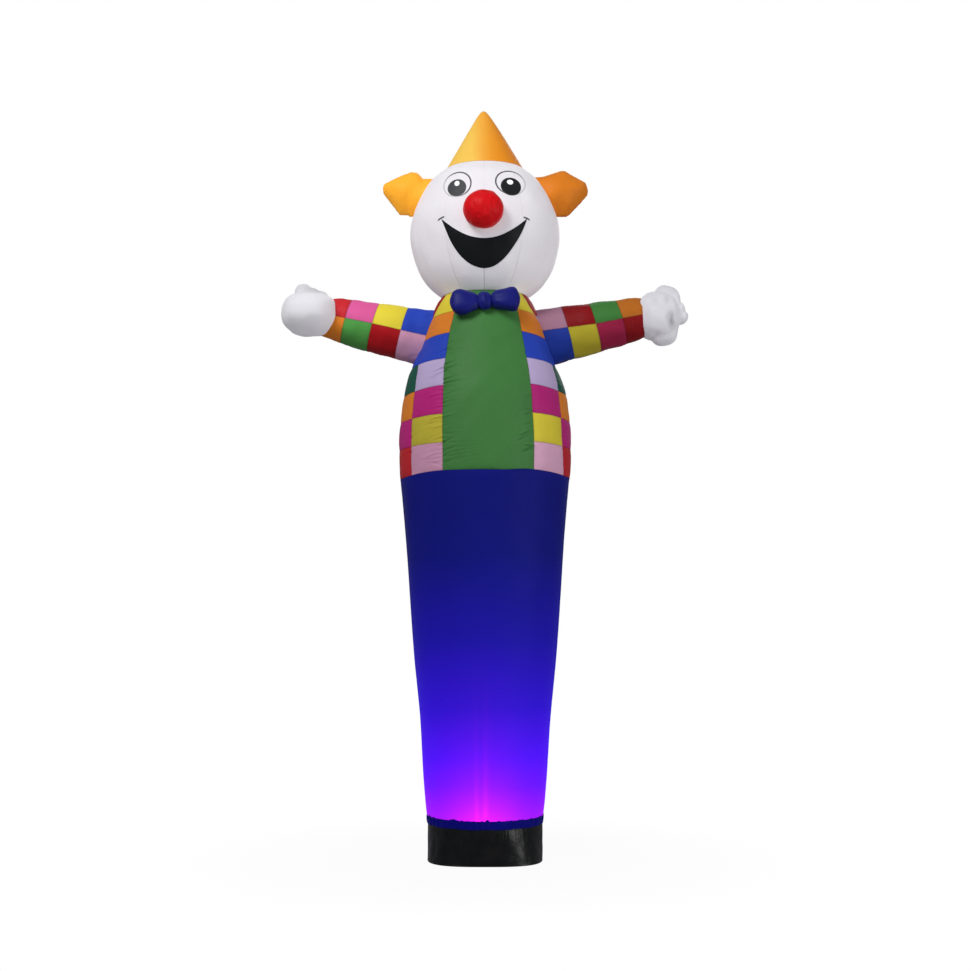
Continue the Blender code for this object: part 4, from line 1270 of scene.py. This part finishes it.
def nose_surface(turn, s):
    """A ball of six gores that meet high on its front, where they are gathered: s runs from the
    back of the ball to its foremost point."""
    angle = (1 - s) * NOSE_REACH
    x, z = np.sin(angle) * np.cos(turn), np.sin(angle) * np.sin(turn)
    way = np.stack([x, -np.cos(angle) + 0 * turn, z], -1)
    pole = NOSE_POLE / np.linalg.norm(NOSE_POLE)
    side = np.cross(pole, (1.0, 0.0, 0.0))
    side = side / np.linalg.norm(side)
    other = np.cross(pole, side)
    from_pole = np.arccos(np.clip(way @ pole, -1, 1))
    round_pole = np.arctan2(way @ other, way @ side)
    place_in = round_pole / TURN * NOSE_GORES + 0.35
    seam = np.round(place_in)
    away = np.abs(place_in - seam) / NOSE_GORES * TURN * np.sin(from_pole) * NOSE_RADIUS
    lift = 0.0016 * (1 - np.exp(-away / 0.010))
    along = from_pole * NOSE_RADIUS + 3.1 * np.mod(seam, 6)
    lift = lift + 0.0014 * puckers(along, away, 71, 0.017, 0.014)
    pleats = np.cos(11 * round_pole) * np.exp(-(((from_pole - 0.13) / 0.09) ** 2))
    lift = lift - 0.006 * np.exp(-from_pole / 0.16) + 0.0012 * pleats
    lift = lift + 0.0012 * relief(way * NOSE_RADIUS, 72, 0.05, 0.16)
    seen = way[..., 1] < 0.2
    for *dent, depth in NOSE_DENTS:
        lift = lift - depth * seen * hill(x * NOSE_RADIUS, z * NOSE_RADIUS, *dent)
    radius = NOSE_RADIUS - 0.0025 + lift
    squash = np.array([1.0, 1.0, NOSE_FLATTEN])
    return NOSE_MIDDLE + radius[..., None] * way * squash


def seated_grid(surface, depth, columns, rows, last):
    """Grid of a surface from where it leaves the body to the share last, and its turns."""
    turns = np.linspace(0, TURN, columns, endpoint=False)
    starts = first_outside(surface, turns, depth, 0.0, last)
    share = np.linspace(0, 1, rows + 1)[:, None]
    s = starts + share * (last - starts)
    turn = np.broadcast_to(turns, s.shape)
    return turn, s, surface(turn, s)


def make_nose():
    """The red ball, from where it leaves the head."""
    turn, s, points = seated_grid(nose_surface, beyond_head, 96, 60, 0.985)
    tip = nose_surface(np.array([0.0]), np.array([1.0]))[0]
    made = cloth_object("nose_ball", points, closed=True, top=tip)
    write_cut(made, turn * NOSE_RADIUS, s * NOSE_LENGTH)
    write_seams(made, (s - s[:1]) * NOSE_LENGTH, turn * NOSE_RADIUS)
    sew_in(made, RED, ["nose"])


def tuft_surface(side):
    """A pillow of two panels, sewn along its outline: at each reach outwards its section is a
    lens between the lower and the upper edge, smooth but for short creases at the seam."""

    def surface(turn, s):
        out = TUFT_START + s * (TUFT_END - TUFT_START)
        high = straight_table(out, TUFT_TOPS[side])
        low = straight_table(out, TUFT_LOWS[side])
        half = (high - low) / 2
        thick = smooth_table(out, TUFT_THICKNESS)
        lens = np.sign(np.sin(turn)) * np.abs(np.sin(turn)) ** 1.15
        edge = 1 - np.abs(np.cos(turn))
        upper = np.sign(np.cos(turn))
        fold = puckers(out + 0.35 * half * upper + upper, edge * 0.12, 81 + side, 0.026, 0.020)
        at_height = (high + low) / 2 + half * np.cos(turn)
        tip = puckers(at_height, (0.617 - out) * 1.1, 85 + side, 0.024, 0.030)
        level = 1 + 0.16 * fold * (1.35 - 0.65 * upper) + 0.22 * tip
        flat = np.stack([out + 0 * turn, TUFT_DEPTH * np.sin(turn), half * np.cos(turn)], -1)
        level = level + 0.035 * relief(flat, 88 + side, 0.09, 0.2)
        y = TUFT_BACK + thick * lens * level
        ragged = 0.0020 * puckers(out + 7 * upper, 0 * out, 83 + side, 0.035, 0.03)
        z = TUFT_LIFT + (high + low) / 2 + (half + ragged) * np.cos(turn)
        return np.stack([side * (out + TUFT_OUT[side] * s) + 0 * turn, y, z], -1)

    return surface


def make_tuft(side):
    """A tuft, from where it leaves the head."""
    name = f"tuft_{SIDES[side]}"
    turn, s, points = seated_grid(tuft_surface(side), beyond_head, 96, 72, 0.999)
    tip = points[-1].mean(0) + np.array([side * 0.0005, 0, 0])
    made = cloth_object(f"{name}_puff", points, closed=True, top=tip, flip=side > 0)
    run = s * TUFT_LENGTH
    write_cut(made, turn * TUFT_DEPTH, run)
    away = (1 - np.abs(np.cos(turn))) * 0.10
    write_seams(made, np.minimum(away, (1 - s) * TUFT_LENGTH), run)
    # The tuft's orange holds painted light on the left and painted shade on the right.
    sew_in(made, TUFT_ORANGES_LIT_AND_SHADED[side], [name])


# ---------- vest, trousers ----------

COLUMN_STEPS, PATCH_STEPS, FRONT_STEPS = 20, 48, 64
PATCH_SHARES = spaced(PATCH_STEPS, 0.4)[:-1]
VEST_HEIGHTS = (PATCH_BORDERS[:-1, None] + np.diff(PATCH_BORDERS)[:, None] * PATCH_SHARES).ravel()
VEST_HEIGHTS = np.append(VEST_HEIGHTS, PATCH_BORDERS[-1])


def arm_points(side, reach):
    """Points on an arm's axis at a distance from the middle plane."""
    return np.stack([side * reach, 0 * reach, ARM_ROOT_HEIGHT + ARM_RISE * reach], -1)


def arm_axes(side):
    """Unit vectors along the arm, up across it and to the front."""
    along = np.array([side, 0.0, ARM_RISE])
    up = np.array([-side * ARM_RISE, 0.0, 1.0])
    return along / np.linalg.norm(along), up / np.linalg.norm(up), np.array([0.0, -1.0, 0.0])


def outside_armhole(points, side):
    """Which quads of a vest column are clear of the armhole, an oval hole on the arm's axis."""
    middle = (points[1:, 1:] + points[:-1, :-1]) / 2
    along, up, front = arm_axes(side)
    offset = middle - arm_points(side, np.array(0.0))
    return np.hypot(offset @ up / ARMHOLE_HALF_HEIGHT, offset @ front / ARMHOLE_HALF_DEPTH) > 1


def vest_strip(index, steps, crowding):
    """Azimuths and heights of the vest between two neighbouring seams, and each point's share
    of the way from the first seam to the second."""
    share, height = np.meshgrid(spaced(steps, crowding), VEST_HEIGHTS)
    seams = vest_seams(height)
    azimuth = seams[..., index] + share * (seams[..., index + 1] - seams[..., index])
    return azimuth, height, share


def write_vest_sewing(made, azimuth, height, share, patches):
    """Writes the cut of a strip of the vest, and the distances to its seams."""
    radius = smooth_table(height, VEST_RINGS)
    width = (azimuth[:, -1:] - azimuth[:, :1]) * radius
    upright = np.minimum(share, 1 - share) * width
    borders = PATCH_BORDERS if patches else PATCH_BORDERS[[0, -1]]
    level = 1.1 * np.abs(height[..., None] - borders).min(-1)
    write_cut(made, (share - 0.5) * width, height)
    write_seams(made, np.minimum(upright, level), np.where(upright < level, height, azimuth * 0.5))


def make_front():
    """The green panel between the two front seams."""
    azimuth, height, share = vest_strip(5, FRONT_STEPS, 0.6)
    made = cloth_object("front_cloth", turned_points(vest_skin, azimuth, height))
    write_vest_sewing(made, azimuth, height, share, False)
    sew_in(made, GREEN, ["front_panel"])


def make_vest_column(side, number):
    """A column of patches, counted from the front. The armhole is cut through two of them."""
    azimuth, height, share = vest_strip(5 + side * number, COLUMN_STEPS, 0.6)
    points = turned_points(vest_skin, azimuth, height)
    label = f"{SIDES[side]}_{number}"
    keep = outside_armhole(points, side) if number in (2, 3) else None
    made = cloth_object(f"vest_{label}", points, keep=keep)
    write_vest_sewing(made, azimuth, height, share, True)
    chart = np.array(list(VEST_CHART[side][number - 1]))
    letters = np.repeat(chart, PATCH_STEPS)[:, None].repeat(COLUMN_STEPS, 1)
    dyes = dyes_of(letters)
    write_dyes(made, dyes if keep is None else dyes[keep.reshape(-1)])
    sew_in(made, PATCHWORK, [f"vest_column_{label}"])


def make_trousers():
    """Six panels from the hem to the waist, with faint seams."""
    for panel in range(6):
        azimuths = TROUSER_PANEL * (panel - 0.5 + spaced(26, 0.6))
        heights = TROUSER_LOW + (VEST_LOW - TROUSER_LOW) * spaced(150, 0.3)
        azimuth, height = np.meshgrid(azimuths, heights)
        made = cloth_object(f"trousers_{panel + 1}", turned_points(trouser_skin, azimuth, height))
        radius = smooth_table(height, TROUSER_RINGS)
        middle = TROUSER_PANEL * panel
        write_cut(made, (azimuth - middle) * radius, height)
        side = (TROUSER_PANEL / 2 - np.abs(azimuth - middle)) * radius
        ring = np.minimum(height - TROUSER_LOW, VEST_LOW - height)
        run = np.where(side < ring, height, azimuth * 0.45)
        write_seams(made, np.minimum(side + 0.0065, ring), run)
        sew_in(made, TROUSERS, [f"trouser_panel_{panel + 1}"])


# ---------- sleeves and gloves ----------


def sleeve_surface(side):
    """A tapered tube of four rows of patches, oval at the vest and round at the hand, a little
    slack below: s runs from the middle plane outwards. Patches swell between the seams, and
    creases start at the armhole and at the seams."""
    along, up, front = arm_axes(side)

    def surface(turn, s):
        reach = s * ARM_REACH
        radius = SLEEVE_ROOT_RADIUS + s * (SLEEVE_END_RADIUS - SLEEVE_ROOT_RADIUS)
        row = np.round(turn / (TURN / 4))
        angle = np.abs(turn - row * (TURN / 4))
        away = angle * radius
        tilted = reach + CUFF_TILT * np.cos(turn)
        border = np.abs(tilted[..., None] - CUFF_BORDERS[side]).min(-1)
        swell_round = 1 - (1 - np.clip(angle / (TURN / 8), 0, 1)) ** 3.5
        swell_along = 1 - (1 - np.clip(border / PATCH_HALF, 0, 1)) ** 4
        lift = 0.0045 * swell_round * (0.4 + 0.6 * swell_along)
        folds = 0.0030 * puckers(reach + 3.7 * np.mod(row, 4), away, 91 + side, 0.033, 0.035)
        folds = folds + 0.0016 * ring_puckers(turn, border, 94 + side, 0.040, 0.025, ARM_RADIUS)
        from_root = np.maximum(reach - ARMHOLE_REACH, 0)
        root = 0.006 * ring_puckers(turn, from_root, 97 + side, 0.050, 0.060, ARMHOLE_RADIUS)
        to_cuff = np.maximum(CUFF_REACH - reach, 0)
        cuff = 0.004 * ring_puckers(turn, to_cuff, 99 + side, 0.030, 0.045, CUFF_RADIUS)
        y, z = ARM_RADIUS * np.cos(turn), ARM_RADIUS * np.sin(turn)
        tube = np.stack([reach + 0 * turn, y, z], -1)
        soft = 0.0020 * relief(tube, 101 + side, 0.08, 0.3)
        sag = SLEEVE_SAG * np.clip(-np.cos(turn), 0, 1) ** 2 * eased(reach, 0.35, 0.5)
        taper = CUFF_TAPER * eased(reach, 0.87, 0.97)
        radius = radius - 0.0025 + lift + folds + root + cuff + soft + sag - taper
        rounding = eased(s, SLEEVE_OVAL_END, SLEEVE_ROUND_START)
        depth = SLEEVE_ROOT_DEPTH + (1 - SLEEVE_ROOT_DEPTH) * rounding
        place_round = turn - SLEEVE_TWISTS[side] * eased(-reach, -0.72, -0.34)
        place_round = place_round + SLEEVE_UNDER * np.exp(-(((turn - TURN / 2) / 0.9) ** 2))
        high, forward = radius * np.cos(place_round), radius * depth * np.sin(place_round)
        return arm_points(side, reach) + high[..., None] * up + forward[..., None] * front

    return surface


def lobe_reach(ways, side):
    """Distance from a hand's middle to its skin, along unit vectors. The skin is where the sum
    of exp(blend (1 - q)) over the lobes is 1; q is 1 on a lobe's own ellipsoid."""
    outwards = ways * np.array([side, 1.0, 1.0])

    def inside(reach):
        point = outwards * reach[..., None]
        total = 0
        for lobe in HAND_LOBES[side]:
            q = (np.abs((point - np.array(lobe[:3])) / np.array(lobe[3:])) ** LOBE_POWER).sum(-1)
            total = total + np.exp(LOBE_BLEND * (1 - q))
        return total > 1

    start = np.zeros(ways.shape[:-1])
    return halved(inside, start, start + HAND_REACH, 26)[0]


def make_sleeve(side):
    """A sleeve from the armhole's seam to inside the glove, with rows of points on its seams."""
    name = SIDES[side]
    surface = sleeve_surface(side)
    columns, rows = 96, 26
    turns = np.linspace(0, TURN, columns, endpoint=False)
    starts = first_outside(surface, turns, beyond_vest, 0.0, 0.6)

    def before_hand(points):
        offset = points - HAND_MIDDLES[side]
        length = np.linalg.norm(offset, axis=-1)
        return lobe_reach(offset / length[..., None], side) - WRIST_TUCK - length

    ends = first_outside(surface, turns, before_hand, 0.6, 1.0)
    borders = [(border - CUFF_TILT * np.cos(turns)) / ARM_REACH for border in CUFF_BORDERS[side]]
    knots = [starts, *borders, ends]
    share = np.linspace(0, 1, rows + 1)[:-1, None]
    parts = [one + share * (other - one) for one, other in zip(knots, knots[1:])]
    s = np.vstack([*parts, ends[None]])
    turn = np.broadcast_to(turns, s.shape)
    points = surface(turn, s)
    made = cloth_object(f"sleeve_{name}_cloth", points, closed=True, flip=side < 0)
    reach = s * ARM_REACH
    radius = SLEEVE_ROOT_RADIUS + s * (SLEEVE_END_RADIUS - SLEEVE_ROOT_RADIUS)
    quarter = TURN / 4
    away_row = np.abs(turn - np.round(turn / quarter) * quarter) * radius
    tilted = reach + CUFF_TILT * np.cos(turn)
    away_border = np.abs(tilted[..., None] - CUFF_BORDERS[side]).min(-1)
    away_root = (s - s[:1]) * ARM_REACH
    away = np.minimum(np.minimum(away_row, away_border), away_root)
    write_cut(made, turn * radius, reach)
    write_seams(made, away, np.where(away_row < away_border, reach, turn * radius))
    patch = np.broadcast_to(np.repeat(np.arange(4), rows)[:, None], (4 * rows, columns))
    row = np.floor((turn[1:] + TURN / columns / 2) / quarter).astype(int) % 4
    chart = np.array([list(line) for line in SLEEVE_CHART[side]])
    # Painted light and shade: each sleeve's dyes are scaled, lighter on the left and darker on the
    # right.
    write_dyes(made, SLEEVE_PAINTED_LIGHT_AND_SHADE[side] * dyes_of(chart[row, patch]))
    sew_in(made, PATCHWORK, [f"sleeve_{name}"])


def hand_points(side, turn, s):
    """A glove's skin: s runs from the wrist to the tip, turn goes round it."""
    middle = HAND_MIDDLES[side]
    along = middle - arm_points(side, np.array(WRIST_REACH))
    along = along / np.linalg.norm(along)
    front = side * np.cross(along, arm_axes(side)[1])
    front = front / np.linalg.norm(front)
    up = side * np.cross(front, along)
    angle = (1 - s) * WRIST_ANGLE
    across = np.cos(turn)[..., None] * up + np.sin(turn)[..., None] * front
    way = np.cos(angle)[..., None] * along + np.sin(angle)[..., None] * across
    reach = lobe_reach(way, side)
    place_in = way * reach[..., None] * np.array([side, 1.0, 1.0])
    x, y, z = np.moveaxis(place_in, -1, 0)
    lift = 0.0022 * relief(place_in, 111 + side, 0.08, 0.22)
    lift = lift + 0.004 * ring_puckers(turn, s * 0.5, 113 + side, 0.030, 0.035, CUFF_RADIUS)
    seen = 1 / (1 + np.exp(y / 0.02))
    for *dent, depth in HAND_DENTS[side]:
        lift = lift - depth * hill(x, z, *dent) * seen
    return middle + way * (reach + lift)[..., None]


HAND_DENTS = {
    # outwards, up, half outwards, half up, depth
    -1: (
        (0.050, 0.122, 0.045, 0.009, 0.012),
        (-0.040, 0.120, 0.060, 0.009, 0.013),
        (-0.010, 0.160, 0.020, 0.030, 0.005),
    ),
    1: (
        (-0.084, 0.070, 0.022, 0.030, 0.012),
        (0.008, 0.073, 0.022, 0.032, 0.016),
        (0.022, -0.044, 0.024, 0.030, 0.036),
        (0.031, -0.078, 0.019, 0.022, 0.040),
        (-0.070, -0.141, 0.030, 0.024, 0.012),
        (0.070, 0.080, 0.016, 0.030, 0.006),
    ),
}
# The right glove's white is darker than the left one's: painted shade.
GLOVE_DYES_WITH_PAINTED_SHADE = {-1: (0.635, 0.630, 0.665), 1: (0.565, 0.560, 0.595)}
HAND_SHADES = {
    # outwards, up, half outwards, half up, share of the light that is lost in the fold there
    -1: ((0.010, 0.155, 0.085, 0.032, 0.26), (-0.060, 0.140, 0.050, 0.020, 0.14)),
    1: (
        (0.024, -0.044, 0.024, 0.032, 0.16),
        (0.032, -0.080, 0.020, 0.026, 0.28),
        (0.008, 0.073, 0.022, 0.034, 0.09),
        (-0.084, 0.070, 0.022, 0.032, 0.07),
        (0.020, 0.150, 0.070, 0.040, 0.10),
    ),
}


def glove_dyes(side, points):
    """The dye of each face of a glove, duller where a fold takes the light away. The last ones
    are the faces round the tip."""
    x, z = side * points[..., 0], points[..., 2]
    level = np.ones(x.shape)
    for *fold, lost in HAND_SHADES[side]:
        level = level - lost * hill(x, z, *fold)
    level = (level + np.roll(level, -1, 1)) / 2
    faces = np.vstack([(level[1:] + level[:-1]) / 2, level[-1:]])
    return faces.reshape(-1, 1) * np.array(GLOVE_DYES_WITH_PAINTED_SHADE[side])


def make_hand(side):
    """A glove, open at the wrist."""
    name = SIDES[side]
    turn, s = round_grid(112, np.linspace(0, 0.988, 81))
    points = hand_points(side, turn, s)
    tip = hand_points(side, np.array([0.0]), np.array([1.0]))[0]
    made = cloth_object(f"glove_{name}", points, closed=True, top=tip, flip=side < 0)
    write_cut(made, turn * GLOVE_RADIUS, s * GLOVE_LENGTH)
    write_seams(made, s * GLOVE_LENGTH, turn * CUFF_RADIUS)
    # The gloves' dyes hold painted shade: in their folds, and all over the right glove.
    write_dyes(made, glove_dyes(side, points - HAND_MIDDLES[side]))
    sew_in(made, WHITE_GLOVE, [f"hand_{name}"])


# ---------- bow tie ----------


def bow_frame(points):
    """Turns points from the bow's own axes to its place on the chest."""
    turned = points @ np.array(Euler((-BOW_LEAN, -BOW_TILT, 0.0)).to_matrix()).T
    return turned + np.array([0.0, -BOW_DEPTH, BOW_HEIGHT])


LOBE_HEIGHTS = {
    # share of the length, half height
    -1: (
        (0, 0.030), (0.08, 0.047), (0.25, 0.058), (0.50, 0.073), (0.75, 0.075), (0.90, 0.062),
        (1, 0.040),
    ),
    1: (
        (0, 0.030), (0.08, 0.044), (0.25, 0.054), (0.50, 0.068), (0.75, 0.074), (0.90, 0.066),
        (1, 0.044),
    ),
}
LOBE_DEPTHS = ((0, 0.022), (0.10, 0.032), (0.40, 0.043), (0.75, 0.044), (0.92, 0.034), (1, 0.022))


def make_bow_lobe(side):
    """A stuffed lobe: an oval section that grows away from the knot, closed by rounding both
    ends, with folds that spread from the knot and soft dents."""
    name = SIDES[side]
    turn, t = round_grid(96, spaced(72, 0.9)[1:-1])
    half = smooth_table(t, LOBE_HEIGHTS[side])
    deep = smooth_table(t, LOBE_DEPTHS)
    ends = np.sqrt(np.clip(1 - np.abs(2 * t - 1) ** 7, 0, 1))
    folds = 1 - 0.10 * np.exp(-t / 0.30) * np.abs(np.cos(3.5 * turn + 0.8)) ** 3
    run = t * LOBE_LENGTH
    lobe = np.stack([run, LOBE_RADIUS * np.cos(turn), LOBE_RADIUS * np.sin(turn)], -1)
    dents = 1 + 0.035 * relief(lobe, 121 + side, 0.07, 0.18)
    rim = (1 - t) * LOBE_LENGTH
    rim = 1 + 0.05 * ring_puckers(turn, rim, 123 + side, 0.030, 0.030, LOBE_RADIUS)
    level = ends * folds * dents * rim
    corner = (np.abs(np.cos(turn)) ** 2.6 + np.abs(np.sin(turn)) ** 2.6) ** (-1 / 2.6)
    z = half * level * np.cos(turn) * corner
    y = -deep * level * np.sin(turn) * corner
    x = side * (LOBE_START + (LOBE_END - LOBE_START) * t)
    points = bow_frame(np.stack([x, y, z], -1))
    low = bow_frame(np.array([side * LOBE_START, 0, 0]))
    tip = bow_frame(np.array([side * LOBE_END, 0, 0]))
    made = cloth_object(f"bow_{name}_puff", points, closed=True, top=tip, low=low, flip=side < 0)
    write_cut(made, turn * LOBE_RADIUS, run)
    write_seams(made, np.abs(np.sin(turn)) * LOBE_RADIUS + 0.002, run)
    sew_in(made, BOW_BLUE, [f"bow_lobe_{name}"], 0)


def make_bow_knot():
    """A stuffed knot: an oval drawn in above and below, with upright folds."""
    turn, t = round_grid(80, np.linspace(0, 1, 57)[1:-1])
    rise = -np.cos(math.pi * t)
    girth = np.clip(1 - np.abs(rise) ** 2.6, 0, 1) ** 0.5
    x, y, z = KNOT_RADIUS * np.cos(turn), KNOT_RADIUS * np.sin(turn), KNOT_RISE * rise
    ball = np.stack([x, y, z], -1)
    folds = 1 + 0.05 * np.sin(7 * turn + 1.0) * (0.4 + 0.6 * np.abs(rise))
    folds = folds + 0.03 * relief(ball, 131, 0.05, 0.12)
    x = KNOT_HALF_SIZE[0] * girth * folds * np.cos(turn)
    y = KNOT_HALF_SIZE[1] * girth * folds * np.sin(turn)
    z = KNOT_HALF_SIZE[2] * rise * np.clip(folds, 0.9, 1.05)
    low = bow_frame(np.array([0, 0, -KNOT_HALF_SIZE[2]]))
    tip = bow_frame(np.array([0, 0, KNOT_HALF_SIZE[2]]))
    points = bow_frame(np.stack([x, y, z], -1))
    made = cloth_object("bow_knot_puff", points, closed=True, top=tip, low=low)
    write_cut(made, turn * KNOT_RADIUS, rise * KNOT_RISE)
    write_seams(made, np.abs(np.sin(turn / 2 + 0.7)) * 0.05, rise * KNOT_RISE)
    sew_in(made, BOW_BLUE, ["bow_knot"], 0)


# ---------- hem and base ----------


def make_hem():
    """A band drawn up in uneven gathers, flush with the trousers and the cover: folds swing it
    in and out, and its upper edge rises and falls with them."""
    turn, up = round_grid(540, np.linspace(0, 1, 13))
    path = turn * HEM_RADIUS
    drift = 0.55 * np.sin(3 * turn + 0.4) + 0.45 * np.sin(7 * turn + 2.1) + 0.3 * np.sin(13 * turn)
    place_in = HEM_GATHERS * turn / TURN + drift
    gathers = np.cos(TURN * place_in) * (0.65 + 0.35 * np.sin(5 * turn + 1.0))
    small = np.cos(HEM_GATHERS * turn + 2 * np.sin(6 * turn)) * 0.5
    swing = 0.0042 * gathers + 0.0016 * small
    belly = np.sin(math.pi * np.clip(up, 0, 1)) ** 0.6
    radius = HEM_RADIUS + 0.0010 + 0.004 * up + belly * 0.001 + swing * (0.35 + 0.65 * belly)
    top = HEM_HIGH + 0.005 + 0.006 * np.sin(9 * turn + 0.7)
    top = top + 0.004 * np.sin(17 * turn) + 0.002 * np.cos(31 * turn)
    low = HEM_LOW + 0.010 + 0.0015 * np.sin(11 * turn + 1.2)
    height = low + up * (top - low)
    made = cloth_object("hem", turned(turn, radius, height), closed=True)
    write_cut(made, path * 1.15, height)
    write_seams(made, np.minimum(up, 1 - up) * 0.06, path)
    sew_in(made, HEM_BLUE, ["hem_band"])


def base_radius(turn, share):
    """Radius of the base: a rounded square at share 0, on the ground, and round at share 1."""
    power = BASE_GROUND_POWER + share * (2.0 - BASE_GROUND_POWER)
    spread = np.abs(np.cos(turn)) ** power + np.abs(np.sin(turn)) ** power
    return BASE_RADIUS * spread ** (-1.0 / power)


def make_base_wall():
    """The cover's wall: the outline with a few broad, soft hollows, and upright ribs under the
    hem where the cloth is gathered."""
    turn, share = round_grid(360, np.linspace(0, 1, 37))
    radius = base_radius(turn, share)
    height = COVER + share * (WALL_HIGH - COVER)
    skin = turned(turn, radius, 0.6 * height)
    crumple = 0.0030 * relief(skin, 141, 0.18, 0.50) - 0.003
    crumple = crumple + 0.0014 * np.abs(relief(skin, 142, 0.08, 0.20))
    ends = np.sin(math.pi * np.clip(share, 0, 1)) ** 0.5
    where = 0.25 + 0.75 * np.exp(-((wrapped(turn - RIB_TURN) / math.radians(20)) ** 2))
    place_in = RIBS * turn / TURN + 0.5 * uneven(turn, 144, 0.15, 0.6, TURN)
    ribs = 0.0028 * where * np.cos(TURN * place_in) * np.exp(-(1 - share) / 0.18)
    radius = radius - 0.001 + ends * crumple + ribs * (0.3 + 0.7 * ends)
    made = cloth_object("cover_wall", turned(turn, radius, height), closed=True)
    sew_in(made, COVER_BLACK, ["base_wall"], COVER)


def make_base_floor():
    """The flat bottom, in rings about its middle; its wall is all above the ground."""
    turn, share = round_grid(128, np.linspace(1, 0.1, 8))
    radius = share * (base_radius(turn, 0) - 0.001)
    points = turned(turn, radius, 0)
    made = cloth_object("cover_floor", points, closed=True, top=(0, 0, 0), flip=True)
    sew_in(made, COVER_BLACK, ["base_floor"], COVER)


# ---------- the whole figure ----------

make_hat()
make_head()
make_mouth()
for side in SIDES:
    make_pupil(side)
make_nose()
for side in SIDES:
    make_tuft(side)
make_front()
for column in range(1, 6):
    for side in SIDES:
        make_vest_column(side, column)
make_trousers()
for make in (make_sleeve, make_hand, make_bow_lobe):
    for side in SIDES:
        make(side)
make_bow_knot()
make_hem()
make_base_wall()
make_base_floor()


# ---------- floor, light and camera ----------

FLOOR_SIZE = 120.0
FLOOR_WHITE = 0.96  # share of plain white that the camera sees on the floor under the base
FLOOR_FADE = (0.6, 2.2)  # from here to there the floor turns all white, in metres from the middle


def make_floor():
    """A pale floor. The camera sees it nearly white, with a soft shade under the base."""
    mesh = bpy.data.meshes.new("floor")
    half = FLOOR_SIZE / 2
    corners = [(-half, -half, 0), (half, -half, 0), (half, half, 0), (-half, half, 0)]
    mesh.from_pydata(corners, [], [(0, 1, 2, 3)])
    material, tree, shader = new_material("floor_paint")
    shader.inputs["Base Color"].default_value = (0.34, 0.34, 0.34, 1.0)
    shader.inputs["Roughness"].default_value = 0.9
    where = place(tree, "TexCoord").outputs["Object"]
    far = place(tree, "VectorMath", {0: where}, operation="LENGTH").outputs["Value"]
    share = smooth_step(tree, far, *FLOOR_FADE)
    share = number(tree, "MULTIPLY_ADD", share, 1 - FLOOR_WHITE, FLOOR_WHITE)
    seen = number(tree, "MULTIPLY", share, place(tree, "LightPath").outputs["Is Camera Ray"])
    white = place(tree, "Emission", {"Color": (1, 1, 1, 1), "Strength": 1.0})
    mix = place(tree, "MixShader", {0: seen, 1: shader.outputs[0], 2: white.outputs[0]})
    tree.links.new(mix.outputs[0], tree.nodes["Material Output"].inputs["Surface"])
    mesh.materials.append(material)
    made = bpy.data.objects.new("floor", mesh)
    bpy.context.scene.collection.objects.link(made)


def area_light(name, place_at, aim, size, power):
    """A soft lamp that looks at a point."""
    light = bpy.data.lights.new(name, "AREA")
    light.size = size
    light.energy = power
    made = bpy.data.objects.new(name, light)
    made.location = place_at
    way = Vector(aim) - Vector(place_at)
    made.rotation_euler = way.to_track_quat("-Z", "Y").to_euler()
    bpy.context.scene.collection.objects.link(made)


def make_world():
    """White to the camera and a dim, even grey to everything else."""
    world = bpy.data.worlds.new("studio")
    bpy.context.scene.world = world
    world.use_nodes = True
    tree = world.node_tree
    seen = tree.nodes["Background"]
    seen.inputs["Color"].default_value = (1, 1, 1, 1)
    seen.inputs["Strength"].default_value = 1.0
    fill = place(tree, "Background", {"Color": (0.94, 0.96, 1.0, 1.0), "Strength": 0.20})
    path = place(tree, "LightPath").outputs["Is Camera Ray"]
    mix = place(tree, "MixShader", {0: path, 1: fill.outputs[0], 2: seen.outputs[0]})
    tree.links.new(mix.outputs[0], tree.nodes["World Output"].inputs["Surface"])


def make_camera():
    """The photo's view, from an eye level at a third of the figure's height."""
    camera = bpy.data.cameras.new("camera")
    camera.lens = 59.373
    camera.shift_y = 0.08
    camera.clip_end = 200.0
    made = bpy.data.objects.new("camera", camera)
    made.location = (0.003, -9.634, 1.522)
    made.rotation_euler = (math.radians(91.446), 0.0, 0.0)
    bpy.context.scene.collection.objects.link(made)
    bpy.context.scene.camera = made


make_floor()
make_world()
area_light("key", (-5.4, -8.2, 10.6), (0, 0, 2.8), 5.0, 1050)
area_light("fill", (6.8, -4.6, 2.6), (0, 0, 2.0), 3.0, 230)
area_light("back", (1.5, 6.0, 6.0), (0, 0, 2.6), 4.0, 90)
make_camera()
bpy.context.scene.view_settings.view_transform = "Standard"
